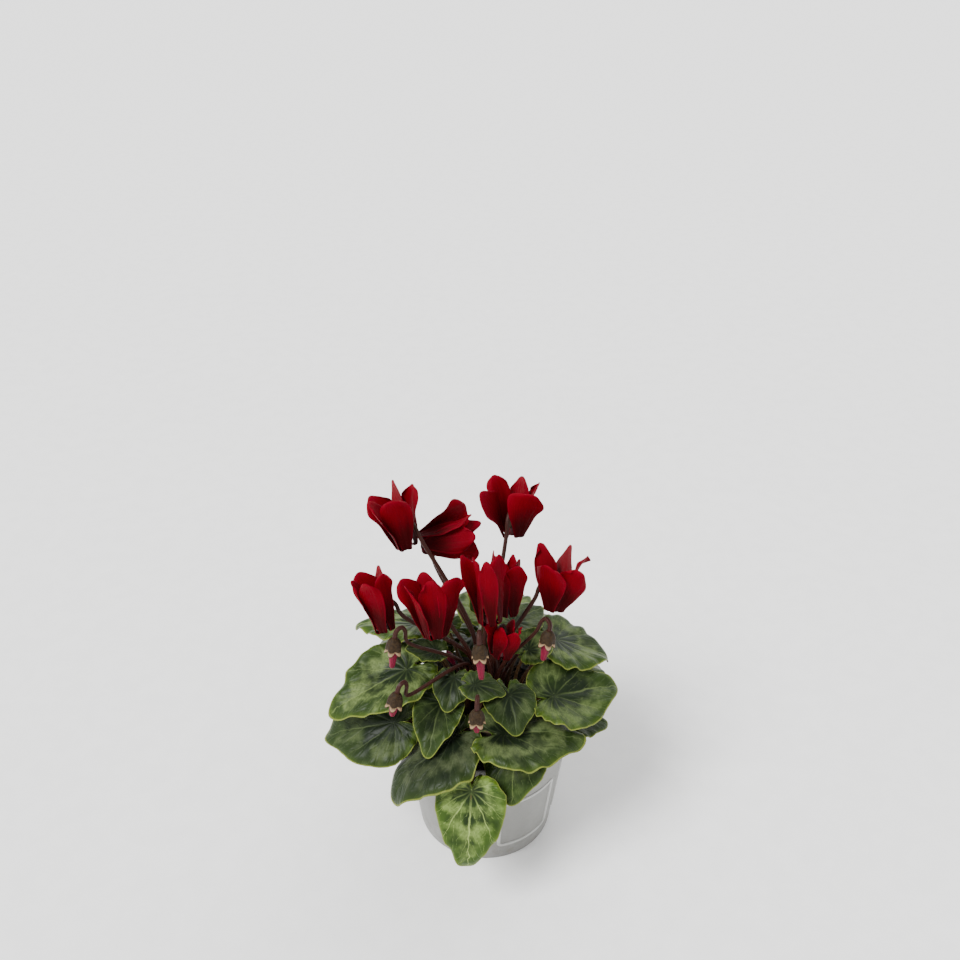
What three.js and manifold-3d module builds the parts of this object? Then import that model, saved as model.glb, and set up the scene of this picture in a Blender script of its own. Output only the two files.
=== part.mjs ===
import * as THREE from 'three';
import { mergeVertices } from 'three/addons/utils/BufferGeometryUtils.js';
import Module from 'manifold-3d';

const wasm = await Module();
wasm.setup();

// A flowering cyclamen in its grower's pot, in millimetres.
// The origin is the middle of the pot's base, +Z is up, and -Y is the side it is looked at from.

// Pot
const POT_HEIGHT = 88;
const POT_BASE_RADIUS = 41.6;
const POT_RIM_RADIUS = 52.5;
const POT_WALL = 1.3;
const POT_TAPER = 0.117;
const RIM_BAND = 10;
const FOOT_DEPTH = 2.4;
const FOOT_WIDTH = 4.4;
const FLOOR_TOP = 3.9;
const BOSS_RADIUS = 10;
const DRAIN_RADIUS = 4;
const DRAIN_CIRCLE = 26;
const DRAIN_COUNT = 6;
const POT_SIDES = 32;

// Raised frames on the pot wall: first and last azimuth in degrees, lower and upper edge
const WALL_FRAMES = [
  { from: -81, to: -32, low: 12, high: 55 },
  { from: -17, to: 30, low: 12, high: 55 },
];
const FRAME_RAISE = 0.7;
const FRAME_BORDER = 2.4;

// Soil and corm
const GAP = 0.3;
const STEM_CLEARANCE = 0.4;
const SOIL_TOP = 80;
const CORM_RADIUS = 25.5;
const CORM_CROWN = 87;
const CORM_SHOULDER = 80;
const CORM_BOTTOM = 62;
const ROOT_DEPTH = 3.6;

// Leaves
const LEAF_THICKNESS = 0.8;
const LEAF_SIDES = 18;
const LEAF_RINGS = 2;
const PETIOLE_RADIUS = 1.3;
const PETIOLE_SIDES = 5;
const PETIOLE_STEPS = 5;

// Blooms
const STALK_RADIUS = 1.4;
const STALK_SIDES = 5;
const STALK_STEPS = 9;
const PETAL_COUNT = 5;
const PETAL_SPACING = 60;
const PETAL_SHIFT = 5;
const PETAL_VARIATION = [2.4, 3.1, 4.2];
const PETAL_THICKNESS = 0.7;
const BLOOM_TOLERANCE = 0.15;
const EAR_WIDTH = 0.7;
const MOUTH_RADIUS = 3;
const CURL_RADIUS = 1.5;
const CURL_SHARE = 0.4;

// Turned forms as radius and height above the mouth, and how a stalk hooks over into its calyx
const COROLLA_CUP = [[0, 6.4], [2.3, 6], [3.4, 3.2], [3.4, 0], [2.5, 0], [0, 4.4]];
const CALYX = [[0, 6.9], [4.2, 6.5], [2.9, 8.4], [0, 9.6]];
const STALK_HOOK = { reach: 10, top: 15, seat: 8 };

// Buds
const BUD_STALK_RADIUS = 1.1;
const BUD_TURN = 0.1;
const BUD_CALYX = [[0, 8.2], [2.6, 7.6], [4.3, 3], [4, -0.6], [3.5, -0.4], [3.3, 4], [0, 6.4]];
const BUD_HOOK = { reach: 8, top: 14, seat: 7.6 };
const YOUNG_BUD = [[0, -1], [1.6, 1], [2.2, 4], [1.4, 7.5], [0, 9.5]];
const STALK_LEAN = 0.5;

const UP = new THREE.Vector3(0, 0, 1);
const TURN = Math.PI / 180;

// Leaves: where petiole and blade join, the blade's tip, the roll that lifts its left side, how far it
// bends down from joint to tip, the fold along the midrib, the curl of its sides, the height and phase of
// its waves, its relative width, the relative length of the lobes behind the joint, and where its petiole
// leaves the corm as radius and azimuth. rise is how far the petiole is drawn upwards as it leaves, and
// arrive is its slope where it reaches the blade.
const LEAVES = [
  // Low leaves, over the rim
  {
    joint: [-53, -28, 101], tip: [-95, -21, 84], roll: -38, droop: 25, fold: 0.28, curl: 0.1,
    wave: 1.2, phase: 0, width: 0.84, heel: 0.6, root: [22.6, 200],
  },
  {
    joint: [-19, -41, 102.5], tip: [-53, -62, 73], roll: 7, droop: 40, fold: 0.04, curl: 0.2,
    wave: 1, phase: 1, width: 0.88, heel: 0.5, root: [22.6, 240],
  },
  {
    joint: [-8, -64, 85], tip: [-10, -79, 40], roll: 0, droop: 30, fold: 0.25, curl: 0.1,
    wave: 1.5, phase: 2, width: 0.66, heel: 0.3, root: [22.6, 262], rise: 22, arrive: -60,
  },
  {
    joint: [17, -44.2, 98.7], tip: [14, -66.5, 76], roll: 5, droop: 25, fold: 0.1, curl: 0.2,
    wave: 1.3, phase: 3, width: 0.95, heel: 0.38, root: [22.6, 288],
  },
  {
    joint: [43, -18, 98], tip: [73, -14, 86], roll: 10, droop: 20, fold: 0.2, curl: 0.2,
    wave: 1, phase: 4, width: 0.85, heel: 0.8, root: [22.6, 335],
  },
  {
    joint: [47, 22, 96], tip: [76, 44, 80], roll: 0, droop: 35, fold: 0.18, curl: 0.3,
    wave: 1.2, phase: 5, width: 0.92, heel: 0.8, root: [22.6, 24],
  },
  {
    joint: [24, 46, 107], tip: [42, 84, 87], roll: 6, droop: 40, fold: 0.18, curl: 0.3,
    wave: 1.3, phase: 0.5, width: 0.92, heel: 0.8, root: [22.6, 60],
  },
  {
    joint: [-8, 53, 97], tip: [-14, 92, 78], roll: 0, droop: 35, fold: 0.18, curl: 0.3,
    wave: 1.3, phase: 1.5, width: 0.9, heel: 0.8, root: [22.6, 98],
  },
  {
    joint: [-38, 37, 107], tip: [-66, 66, 84], roll: 4, droop: 40, fold: 0.1, curl: 0.3,
    wave: 1.4, phase: 2.5, width: 0.9, heel: 0.8, root: [22.6, 134],
  },
  {
    joint: [-52, 8, 98], tip: [-88, 20, 82], roll: 4, droop: 30, fold: 0.18, curl: 0.3,
    wave: 1.2, phase: 3.5, width: 0.85, heel: 0.8, root: [22.6, 170],
  },
  // Middle leaves
  {
    joint: [-46, -9, 124], tip: [-91, -26, 105], roll: -14, droop: 20, fold: 0.28, curl: 0.1,
    wave: 1.3, phase: 4.5, width: 0.7, heel: 0.6, root: [19, 192],
  },
  {
    joint: [-25, -26.5, 115], tip: [-33, -54, 100], roll: 0, droop: 30, fold: 0.4, curl: 0,
    wave: 1, phase: 5.5, width: 0.7, heel: 0.6, root: [19, 222],
  },
  {
    joint: [10, -45, 110], tip: [56, -43, 102], roll: 4, droop: 25, fold: 0.2, curl: 0.35,
    wave: 1, phase: 0.2, width: 0.84, heel: 0.75, root: [19, 292],
  },
  {
    joint: [39, -25, 119], tip: [77, -8, 111], roll: 20, droop: 10, fold: 0.25, curl: 0,
    wave: 1.4, phase: 1.2, width: 0.9, heel: 0.7, root: [19, 326],
  },
  {
    joint: [42, 11, 129.6], tip: [75, 14, 113], roll: 0, droop: 25, fold: 0.22, curl: 0.2,
    wave: 1.3, phase: 2.2, width: 1, heel: 0.7, root: [19, 12],
  },
  {
    joint: [26, 30, 119], tip: [54, 60, 103], roll: 0, droop: 25, fold: 0.18, curl: 0.2,
    wave: 1.3, phase: 3.2, width: 0.9, heel: 0.7, root: [19, 48],
  },
  {
    joint: [4, 38, 130], tip: [10, 78, 115], roll: 0, droop: 30, fold: 0.18, curl: 0.2,
    wave: 1.2, phase: 4.2, width: 0.9, heel: 0.7, root: [19, 84],
  },
  {
    joint: [-24, 34, 121], tip: [-44, 66, 105], roll: 10, droop: 25, fold: 0.1, curl: 0.2,
    wave: 1.3, phase: 5.2, width: 0.92, heel: 0.7, root: [19, 127],
  },
  {
    joint: [-42, 19, 135], tip: [-80, 31, 124], roll: 8, droop: 25, fold: 0.18, curl: 0.2,
    wave: 1.2, phase: 0.8, width: 0.75, heel: 0.6, root: [19, 160],
  },
  // Small leaves of the crown
  {
    joint: [-18, -20.5, 128.5], tip: [-22, -37, 118], roll: 0, droop: 30, fold: 0.18, curl: 0.3,
    wave: 0.8, phase: 1.8, width: 0.95, heel: 0.55, root: [15.6, 230],
  },
  {
    joint: [-6, -31, 133], tip: [11, -33, 128], roll: 10, droop: 25, fold: 0.18, curl: 0.2,
    wave: 0.7, phase: 2.8, width: 0.9, heel: 0.9, root: [15.6, 253],
  },
  {
    joint: [13, -32, 126], tip: [17, -51, 114], roll: -5, droop: 25, fold: 0.2, curl: 0.3,
    wave: 0.8, phase: 3.8, width: 1.05, heel: 0.8, root: [15.6, 306],
  },
  {
    joint: [25, -4, 135], tip: [40, 6, 139], roll: 15, droop: 10, fold: 0.2, curl: 0,
    wave: 1.2, phase: 4.8, width: 1, heel: 0.8, root: [15.6, 354],
  },
  {
    joint: [0, 28, 143], tip: [-8, 41, 161], roll: 0, droop: 15, fold: 0.2, curl: 0,
    wave: 1, phase: 5.8, width: 0.7, heel: 0.5, root: [15.6, 98],
  },
  {
    joint: [17, 18, 137], tip: [35, 36, 134], roll: 5, droop: 20, fold: 0.18, curl: 0.2,
    wave: 1, phase: 0.4, width: 0.9, heel: 0.6, root: [15.6, 50],
  },
  {
    joint: [-24, 10, 143], tip: [-44, 22, 143], roll: 5, droop: 20, fold: 0.18, curl: 0.2,
    wave: 1, phase: 1.4, width: 0.85, heel: 0.7, root: [15.6, 148],
  },
  {
    joint: [-29, -7, 137], tip: [-46, -9, 140], roll: -8, droop: 10, fold: 0.2, curl: 0,
    wave: 0.9, phase: 2.4, width: 0.85, heel: 0.8, root: [15.6, 190],
  },
];

// Blooms: the nose at the mouth, a point that the upright petals reach for, petal length and half width,
// how far the petals stand open, how much they flare and twist, and where the stalk leaves the corm.
// ear tells which petal stands up narrow, how much further it is twisted, and its relative length.
const BLOOMS = [
  {
    nose: [-45, 24, 188.5], top: [-55.5, 37, 227], petal: 33, half: 9.2, open: 10,
    flare: 10, twist: 34, ear: [1, 15, 1.14], root: [8, 152],
  },
  {
    nose: [-38, 44, 177], top: [0, 51, 183], petal: 32, half: 9.4, open: 8,
    flare: 9, twist: 30, gap: [0, 0, -1], ear: [0, 10, 1.2], root: [8, 117],
  },
  {
    nose: [16, 40.4, 186], top: [15, 46.4, 224], petal: 31, half: 9.5, open: 14,
    flare: 10, twist: 36, ear: [3, -20, 1.07], root: [8, 60],
  },
  {
    nose: [-55.2, -18, 163], top: [-63.7, -7, 198], petal: 32, half: 7.2, open: 4,
    flare: 8, twist: 34, ear: [4, -30, 1], root: [8, 190],
  },
  {
    nose: [-27.4, -24.6, 163.2], top: [-33, -9.6, 199.2], petal: 33, half: 8, open: 9,
    flare: 7, twist: 28, root: [8, 222],
  },
  {
    nose: [2.3, -22, 170.5], top: [-2.6, -9, 212], petal: 38, half: 5.6, open: 1.5,
    flare: 4, twist: 30, root: [8, 254],
  },
  {
    nose: [12.5, 0, 159], top: [11, 12, 198], petal: 31, half: 5.8, open: 3,
    flare: 4, twist: 32, root: [8, 318],
  },
  {
    nose: [37.5, -2, 165], top: [41, 6, 203], petal: 33, half: 10, open: 13,
    flare: 11, twist: 36, ear: [4, 35, 1], root: [8, 352],
  },
  {
    nose: [8.5, -24, 149.4], top: [13, -20, 173.4], petal: 18.5, half: 5.3, open: 4,
    flare: -4, twist: 24, root: [8, 286],
  },
];

// Buds: the tip, a point up its axis, how much of it the calyx leaves bare, and its stalk's root.
// lean is how high the stalk rises upright before it leans out, as a share of its height.
const BUDS = [
  { tip: [-51, -36, 150], axis: [-49, -34, 168], bare: 11, root: [12.2, 200] },
  { tip: [-51, -50, 128], axis: [-47, -47, 146], bare: 7, root: [12.2, 215], lean: 0.82 },
  { tip: [-5, -59, 125], axis: [-5, -57, 143], bare: 6.5, root: [12.2, 271] },
  { tip: [-2.5, -43, 148], axis: [-3.5, -41, 166], bare: 14, root: [12.2, 283] },
  { tip: [31, -30, 150], axis: [34, -28, 168], bare: 11, root: [12.2, 312] },
];

// Young buds, still short: base on the corm as radius and azimuth, and tip
const YOUNG_BUDS = [
  { root: [12.2, 178], tip: [-19, 2, 120] },
  { root: [12.2, 28], tip: [19, 6, 124] },
];

const COLOURS = {
  pot: [0xb4b3ae, 0.45],
  soil: [0x2b211a, 1],
  corm: [0x4a3a2a, 0.95],
  leaf: [0x3c5a33, 0.5],
  bloom: [0x8a0512, 0.55],
  stalk: [0x4a2a24, 0.6],
  bud: [0xb01042, 0.5],
};

// Solids from three.js geometries

function merged(geometry) {
  const bare = new THREE.BufferGeometry();
  bare.setAttribute('position', geometry.getAttribute('position').clone());
  if (geometry.getIndex()) {
    bare.setIndex(geometry.getIndex().clone());
  }
  const whole = mergeVertices(bare, 1e-3);
  const corners = whole.getIndex().array;
  const kept = [];
  for (let i = 0; i < corners.length; i += 3) {
    const [a, b, c] = [corners[i], corners[i + 1], corners[i + 2]];
    if (a !== b && b !== c && c !== a) {
      kept.push(a, b, c);
    }
  }
  whole.setIndex(kept);
  return whole;
}

function signedVolume(places, corners) {
  const a = new THREE.Vector3();
  const b = new THREE.Vector3();
  const c = new THREE.Vector3();
  let sum = 0;
  for (let i = 0; i < corners.length; i += 3) {
    a.fromArray(places, 3 * corners[i]);
    b.fromArray(places, 3 * corners[i + 1]);
    c.fromArray(places, 3 * corners[i + 2]);
    sum += a.dot(b.cross(c)) / 6;
  }
  return sum;
}

function solid(geometry) {
  const whole = merged(geometry);
  const places = Float32Array.from(whole.getAttribute('position').array);
  const corners = Uint32Array.from(whole.getIndex().array);
  if (signedVolume(places, corners) < 0) {
    corners.reverse();
  }
  return new wasm.Manifold(new wasm.Mesh({ numProp: 3, vertProperties: places, triVerts: corners }));
}

function turned(profile, sides) {
  const points = profile.map(([r, z]) => new THREE.Vector2(r, z));
  return new THREE.LatheGeometry(points, sides).rotateX(Math.PI / 2);
}

function tube(curve, radius, sides, steps) {
  const section = new THREE.Shape();
  for (let i = 0; i < sides; i += 1) {
    const angle = (i / sides) * 2 * Math.PI;
    const [x, y] = [radius * Math.cos(angle), radius * Math.sin(angle)];
    if (i === 0) {
      section.moveTo(x, y);
    } else {
      section.lineTo(x, y);
    }
  }
  section.closePath();
  return new THREE.ExtrudeGeometry(section, { steps, bevelEnabled: false, extrudePath: curve });
}

// A closed solid of even thickness round an open sheet, split into triangles alike on both faces
function thickened(sheet, thickness) {
  const middle = merged(sheet);
  middle.computeVertexNormals();
  const places = middle.getAttribute('position');
  const normals = middle.getAttribute('normal');
  const corners = middle.getIndex().array;
  const count = places.count;
  const outer = [];
  for (const side of [0.5, -0.5]) {
    for (let i = 0; i < count; i += 1) {
      const shift = new THREE.Vector3().fromBufferAttribute(normals, i).multiplyScalar(side * thickness);
      const point = new THREE.Vector3().fromBufferAttribute(places, i).add(shift);
      outer.push(...point.toArray());
    }
  }
  const faces = [];
  const edges = new Set();
  for (let i = 0; i < corners.length; i += 3) {
    const [a, b, c] = [corners[i], corners[i + 1], corners[i + 2]];
    faces.push(a, b, c, c + count, b + count, a + count);
    edges.add(`${a} ${b}`).add(`${b} ${c}`).add(`${c} ${a}`);
  }
  for (const edge of edges) {
    const [a, b] = edge.split(' ').map(Number);
    if (!edges.has(`${b} ${a}`)) {
      faces.push(b, a, a + count, b, a + count, b + count);
    }
  }
  const geometry = new THREE.BufferGeometry();
  geometry.setAttribute('position', new THREE.Float32BufferAttribute(outer, 3));
  geometry.setIndex(faces);
  return geometry;
}

function placed(geometry, move) {
  const places = geometry.getAttribute('position');
  const point = new THREE.Vector3();
  for (let i = 0; i < places.count; i += 1) {
    point.fromBufferAttribute(places, i);
    places.setXYZ(i, ...move(point).toArray());
  }
  return geometry;
}

function mesh(name, body, kind) {
  const result = body.getMesh();
  const geometry = new THREE.BufferGeometry();
  geometry.setAttribute('position', new THREE.BufferAttribute(result.vertProperties, 3));
  geometry.setIndex(new THREE.BufferAttribute(result.triVerts, 1));
  geometry.computeVertexNormals();
  const [color, roughness] = COLOURS[kind];
  const material = new THREE.MeshStandardMaterial({ color, roughness, metalness: 0 });
  const piece = new THREE.Mesh(geometry, material);
  piece.name = name;
  return piece;
}

function polar(radius, azimuth, z) {
  const angle = azimuth * TURN;
  return new THREE.Vector3(radius * Math.cos(angle), radius * Math.sin(angle), z);
}

// Pot

function wallRadius(z) {
  return POT_BASE_RADIUS + POT_TAPER * z;
}

function wallPanel(frame, inset, depth) {
  const block = new THREE.BoxGeometry(1, 1, 1, 5, 1, 1);
  return placed(block, (point) => {
    const high = point.y > 0;
    const z = high ? frame.high - inset : frame.low + inset;
    const trim = inset / wallRadius(z) / TURN;
    const azimuth = THREE.MathUtils.lerp(frame.from + trim, frame.to - trim, point.x + 0.5);
    return polar(wallRadius(z) + (point.z > 0 ? depth : -0.5), azimuth, z);
  });
}

function pot() {
  const shoulder = POT_HEIGHT - RIM_BAND;
  const profile = [
    [0, 0],
    [BOSS_RADIUS, 0],
    [BOSS_RADIUS + 0.6, FOOT_DEPTH],
    [POT_BASE_RADIUS - FOOT_WIDTH - 0.6, FOOT_DEPTH],
    [POT_BASE_RADIUS - FOOT_WIDTH, 0],
    [POT_BASE_RADIUS, 0],
    [wallRadius(shoulder), shoulder],
    [POT_RIM_RADIUS - 0.4, shoulder + 0.4],
    [POT_RIM_RADIUS, POT_HEIGHT],
    [POT_RIM_RADIUS - POT_WALL, POT_HEIGHT],
    [POT_RIM_RADIUS - POT_WALL - 0.4, shoulder + 0.4],
    [wallRadius(shoulder) - POT_WALL, shoulder - 2],
    [wallRadius(FLOOR_TOP) - POT_WALL, FLOOR_TOP],
    [0, FLOOR_TOP],
  ];
  let body = solid(turned(profile, POT_SIDES));
  for (let i = 0; i < DRAIN_COUNT; i += 1) {
    const centre = polar(DRAIN_CIRCLE, (360 * i) / DRAIN_COUNT, FLOOR_TOP / 2);
    const drill = new THREE.CylinderGeometry(DRAIN_RADIUS, DRAIN_RADIUS, 2 * FLOOR_TOP, 8);
    body = body.subtract(solid(drill.rotateX(Math.PI / 2).translate(...centre.toArray())));
  }
  for (const frame of WALL_FRAMES) {
    const border = solid(wallPanel(frame, 0, FRAME_RAISE));
    const window = solid(wallPanel(frame, FRAME_BORDER, 2 * FRAME_RAISE));
    body = body.add(border.subtract(window));
  }
  return body;
}

// Soil and corm

function cormHeight(radius) {
  return CORM_CROWN - (CORM_CROWN - CORM_SHOULDER) * (radius / CORM_RADIUS) ** 2;
}

function cormSolid(grow) {
  const middle = (CORM_SHOULDER + CORM_BOTTOM) / 2;
  const profile = [
    [0, CORM_BOTTOM - grow],
    [CORM_RADIUS * 0.6, CORM_BOTTOM + 2 - grow],
    [CORM_RADIUS * 0.93 + grow, middle],
    [CORM_RADIUS + grow, CORM_SHOULDER],
  ];
  for (const share of [0.7, 0.35]) {
    profile.push([CORM_RADIUS * share, cormHeight(CORM_RADIUS * share) + grow]);
  }
  profile.push([0, CORM_CROWN + grow]);
  return solid(turned(profile, 20));
}

function soil() {
  const shoulder = POT_HEIGHT - RIM_BAND;
  const inner = (z) => wallRadius(z) - POT_WALL - 2 * GAP;
  const profile = [
    [0, FLOOR_TOP + GAP],
    [inner(FLOOR_TOP), FLOOR_TOP + GAP],
    [inner(shoulder - 4), shoulder - 4],
    [inner(shoulder - 2), SOIL_TOP - 1.5],
    [inner(shoulder - 2) - 8, SOIL_TOP],
    [0, SOIL_TOP + 0.5],
  ];
  return solid(turned(profile, 20)).subtract(cormSolid(2 * GAP));
}

function corm(stems) {
  let body = cormSolid(0);
  for (const { root, radius } of stems) {
    const floor = cormHeight(root[0]) - ROOT_DEPTH - GAP;
    const reach = (radius + STEM_CLEARANCE) / Math.cos(Math.PI / 5);
    const hole = new THREE.CylinderGeometry(reach, reach, 12, 5).rotateX(Math.PI / 2);
    const centre = polar(...root, floor + 6);
    body = body.subtract(solid(hole.translate(...centre.toArray())));
  }
  return body;
}

function rootPoint(root) {
  return polar(...root, cormHeight(root[0]) - ROOT_DEPTH);
}

// Leaves

// Distance from the joint to the blade's edge in each direction, as a share of the blade's length:
// a broad heart with a pointed tip, a notch where the petiole joins, and shallow scallops
function leafReach(phi, heel) {
  const degrees = Math.abs(phi) / TURN;
  const round = 0.645 + 0.1 * Math.cos(phi) + 0.035 * Math.cos(2 * phi);
  const point = 0.22 * Math.exp(-((degrees / 16) ** 2));
  const notch = 0.4 * Math.exp(-(((180 - degrees) / 13) ** 2));
  const scallop = 0.008 * Math.cos(9 * phi) * Math.sin(phi) ** 2;
  const lobes = 1 - (1 - heel) * Math.max(0, -Math.cos(phi));
  return (round + point - notch + scallop) * lobes;
}

function leafFrame(leaf) {
  const joint = new THREE.Vector3(...leaf.joint);
  const chord = new THREE.Vector3(...leaf.tip).sub(joint);
  const ahead = chord.clone().normalize();
  const left = UP.clone().cross(ahead).normalize().applyAxisAngle(ahead, leaf.roll * TURN);
  const above = ahead.clone().cross(left);
  const bend = leaf.droop * TURN;
  const length = (chord.length() * bend) / 2 / Math.sin(bend / 2);
  return { joint, ahead, left, above, bend, length };
}

// A point of the blade: rho runs from the joint to the edge, phi round the joint from the midrib
function leafPoint(leaf, frame, rho, phi) {
  const { joint, ahead, left, above, bend, length } = frame;
  const reach = rho * leafReach(phi, leaf.heel);
  const along = reach * Math.cos(phi);
  const across = reach * Math.sin(phi) * leaf.width;
  const ridge = leaf.fold * (Math.hypot(across, 0.12) - 0.12);
  const waves = Math.sin(3 * phi + leaf.phase) + 0.6 * Math.sin(7 * phi + 2 * leaf.phase);
  const ripple = leaf.wave * rho ** 2 * waves;
  const height = length * (ridge - leaf.curl * across ** 2) + ripple;
  const turn = bend * along;
  const arc = length / bend;
  const x = arc * Math.sin(turn) + height * Math.sin(turn);
  const z = -arc * (1 - Math.cos(turn)) + height * Math.cos(turn);
  const [c, s] = [Math.cos(bend / 2), Math.sin(bend / 2)];
  return joint.clone()
    .addScaledVector(ahead, x * c - z * s)
    .addScaledVector(left, across * length)
    .addScaledVector(above, x * s + z * c);
}

function petioleCurve(leaf, frame) {
  const base = rootPoint(leaf.root);
  const end = leafPoint(leaf, frame, 0.1, 0).addScaledVector(frame.above, -0.45 * LEAF_THICKNESS);
  const span = end.clone().sub(base);
  const outwards = new THREE.Vector3(span.x, span.y, 0).normalize();
  const slope = (leaf.arrive ?? 30) * TURN;
  const arrival = outwards.multiplyScalar(Math.cos(slope)).addScaledVector(UP, Math.sin(slope));
  const rise = leaf.rise ?? 0.55 * span.z + 4;
  const lower = base.clone().addScaledVector(UP, rise);
  const upper = end.clone().addScaledVector(arrival, -0.4 * Math.hypot(span.x, span.y));
  const path = new THREE.CurvePath();
  const shoulder = base.clone().addScaledVector(UP, ROOT_DEPTH + 3);
  path.add(new THREE.LineCurve3(base, shoulder));
  path.add(new THREE.CubicBezierCurve3(shoulder, lower, upper, end));
  return path;
}

function leafSolid(leaf) {
  const frame = leafFrame(leaf);
  const disc = new THREE.RingGeometry(0, 1, LEAF_SIDES, LEAF_RINGS);
  const blade = placed(disc, (point) => {
    const rho = Math.hypot(point.x, point.y);
    return leafPoint(leaf, frame, rho, Math.atan2(point.y, point.x));
  });
  const petiole = tube(petioleCurve(leaf, frame), PETIOLE_RADIUS, PETIOLE_SIDES, PETIOLE_STEPS);
  return solid(thickened(blade, LEAF_THICKNESS)).add(solid(petiole));
}

// Blooms

function bloomFrame(bloom) {
  const nose = new THREE.Vector3(...bloom.nose);
  const axis = new THREE.Vector3(...bloom.top).sub(nose).normalize();
  const inwards = new THREE.Vector3(-nose.x, -nose.y, 0);
  if (bloom.gap) {
    inwards.set(...bloom.gap);
  }
  const gap = inwards.addScaledVector(axis, -inwards.dot(axis)).normalize();
  const beside = axis.clone().cross(gap);
  return { nose, axis, gap, beside };
}

function fromBloom(frame, x, y, z) {
  return frame.nose.clone()
    .addScaledVector(frame.gap, x)
    .addScaledVector(frame.beside, y)
    .addScaledVector(frame.axis, z);
}

// A point of a petal: u runs across from -1 to 1, v along it from the mouth's rim to the tip.
// Each petal of a bloom is tilted, twisted and shifted a little differently.
function petalPoint(bloom, frame, index, u, v) {
  const [tilted, twisted, shifted] = PETAL_VARIATION.map((step, i) => Math.sin(step * index + bloom.nose[i]));
  const order = index - (PETAL_COUNT - 1) / 2;
  const azimuth = (180 + PETAL_SHIFT + PETAL_SPACING * order + 4 * shifted) * TURN;
  const open = (bloom.open + 5 * tilted) * TURN;
  const [ear, earTwist, earLength] = bloom.ear ?? [-1, 0, 1];
  const eared = index === ear;
  const twist = (bloom.twist * (1 + 0.6 * twisted) + (eared ? earTwist : 0)) * TURN * v;
  const flare = bloom.flare * TURN;
  const whole = Math.max(0, v - CURL_SHARE) / (1 - CURL_SHARE);
  const share = whole - (0.1 + 0.04 * shifted) * u * u * whole ** 3;
  const curl = Math.min(1, v / CURL_SHARE) * (Math.PI - open);
  const lean = open + flare * share;
  const arc = bloom.petal * (eared ? earLength : 1) / flare;
  const outwards = CURL_RADIUS * (1 - Math.cos(curl)) + arc * (Math.cos(open) - Math.cos(lean));
  const radius = MOUTH_RADIUS + outwards + 0.22 * bloom.half * whole ** 4;
  const height = 0.6 - CURL_RADIUS * Math.sin(curl) + arc * (Math.sin(lean) - Math.sin(open));
  const angle = whole > 0 ? lean : Math.PI - curl;
  const root = 0.19 + 0.14 * Math.min(1, v / CURL_SHARE);
  const belly = root + (1 - root) * Math.sin((Math.PI / 2) * Math.min(1, whole / 0.74)) ** 1.3;
  const tip = Math.sqrt(1 - 0.68 * (Math.max(0, whole - 0.7) / 0.3) ** 2);
  const half = bloom.half * (eared ? EAR_WIDTH : 1) * belly * tip;
  const across = u * half * Math.cos(twist);
  const out = u * half * Math.sin(twist) - 0.22 * half * u * u * whole;
  const r = radius + out * Math.cos(angle);
  const z = height - out * Math.sin(angle);
  const [c, s] = [Math.cos(azimuth), Math.sin(azimuth)];
  return fromBloom(frame, r * c - across * s, r * s + across * c, z);
}

function petal(bloom, frame, index) {
  const sheet = placed(new THREE.PlaneGeometry(2, 1, 2, 5), (point) => (
    petalPoint(bloom, frame, index, point.x, point.y + 0.5)
  ));
  return solid(thickened(sheet, PETAL_THICKNESS));
}

function bloomSolid(bloom) {
  const frame = bloomFrame(bloom);
  const cup = placed(turned(COROLLA_CUP, 6), (point) => fromBloom(frame, point.x, point.y, point.z));
  let body = solid(cup);
  for (let i = 0; i < PETAL_COUNT; i += 1) {
    body = body.add(petal(bloom, frame, i));
  }
  return body.simplify(BLOOM_TOLERANCE);
}

// Path of a stalk from the corm up to its flower, where it hooks over and comes down into the calyx.
// lift is how far the calyx sits above the frame's own point.
function hookedCurve(root, frame, hook, lift, lean) {
  const { reach } = hook;
  const top = hook.top + lift;
  const base = rootPoint(root);
  const exit = fromBloom(frame, reach, 0, top - 10);
  const points = [
    base,
    base.clone().addScaledVector(UP, ROOT_DEPTH + 4),
    new THREE.Vector3(base.x, base.y, THREE.MathUtils.lerp(base.z, exit.z, lean)),
    exit,
    fromBloom(frame, reach - 1.5, 0, top - 3.5),
    fromBloom(frame, reach / 2, 0, top),
    fromBloom(frame, 0.8, 0, top - 1.5),
    fromBloom(frame, 0, 0, hook.seat + lift),
  ];
  return new THREE.CatmullRomCurve3(points, false, 'centripetal');
}

function stalkSolid(bloom) {
  const frame = bloomFrame(bloom);
  const calyx = placed(turned(CALYX, 5), (point) => fromBloom(frame, point.x, point.y, point.z));
  const curve = hookedCurve(bloom.root, frame, STALK_HOOK, 0, STALK_LEAN);
  return solid(calyx).add(solid(tube(curve, STALK_RADIUS, STALK_SIDES, STALK_STEPS)));
}

// Buds

function budFrame(bud) {
  return bloomFrame({ nose: bud.tip, top: bud.axis, gap: bud.gap });
}

function budSolid(bud) {
  const frame = budFrame(bud);
  const mouth = bud.bare;
  const bare = [[0, 0], [1.7, 1.2], [2.3, 0.5 * mouth], [2.9, mouth]];
  const hidden = [[2.5, mouth + 3.5], [0, mouth + 5.5]];
  const twisted = placed(turned([...bare, ...hidden], 6), (point) => {
    const turn = BUD_TURN * point.z;
    const [c, s] = [Math.cos(turn), Math.sin(turn)];
    return fromBloom(frame, point.x * c - point.y * s, point.x * s + point.y * c, point.z);
  });
  return solid(twisted);
}

function budStalkSolid(bud) {
  const frame = budFrame(bud);
  const cup = placed(turned(BUD_CALYX, 7), (point) => (
    fromBloom(frame, point.x, point.y, point.z + bud.bare)
  ));
  const curve = hookedCurve(bud.root, frame, BUD_HOOK, bud.bare, bud.lean ?? STALK_LEAN);
  return solid(cup).add(solid(tube(curve, BUD_STALK_RADIUS, STALK_SIDES, STALK_STEPS)));
}

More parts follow.
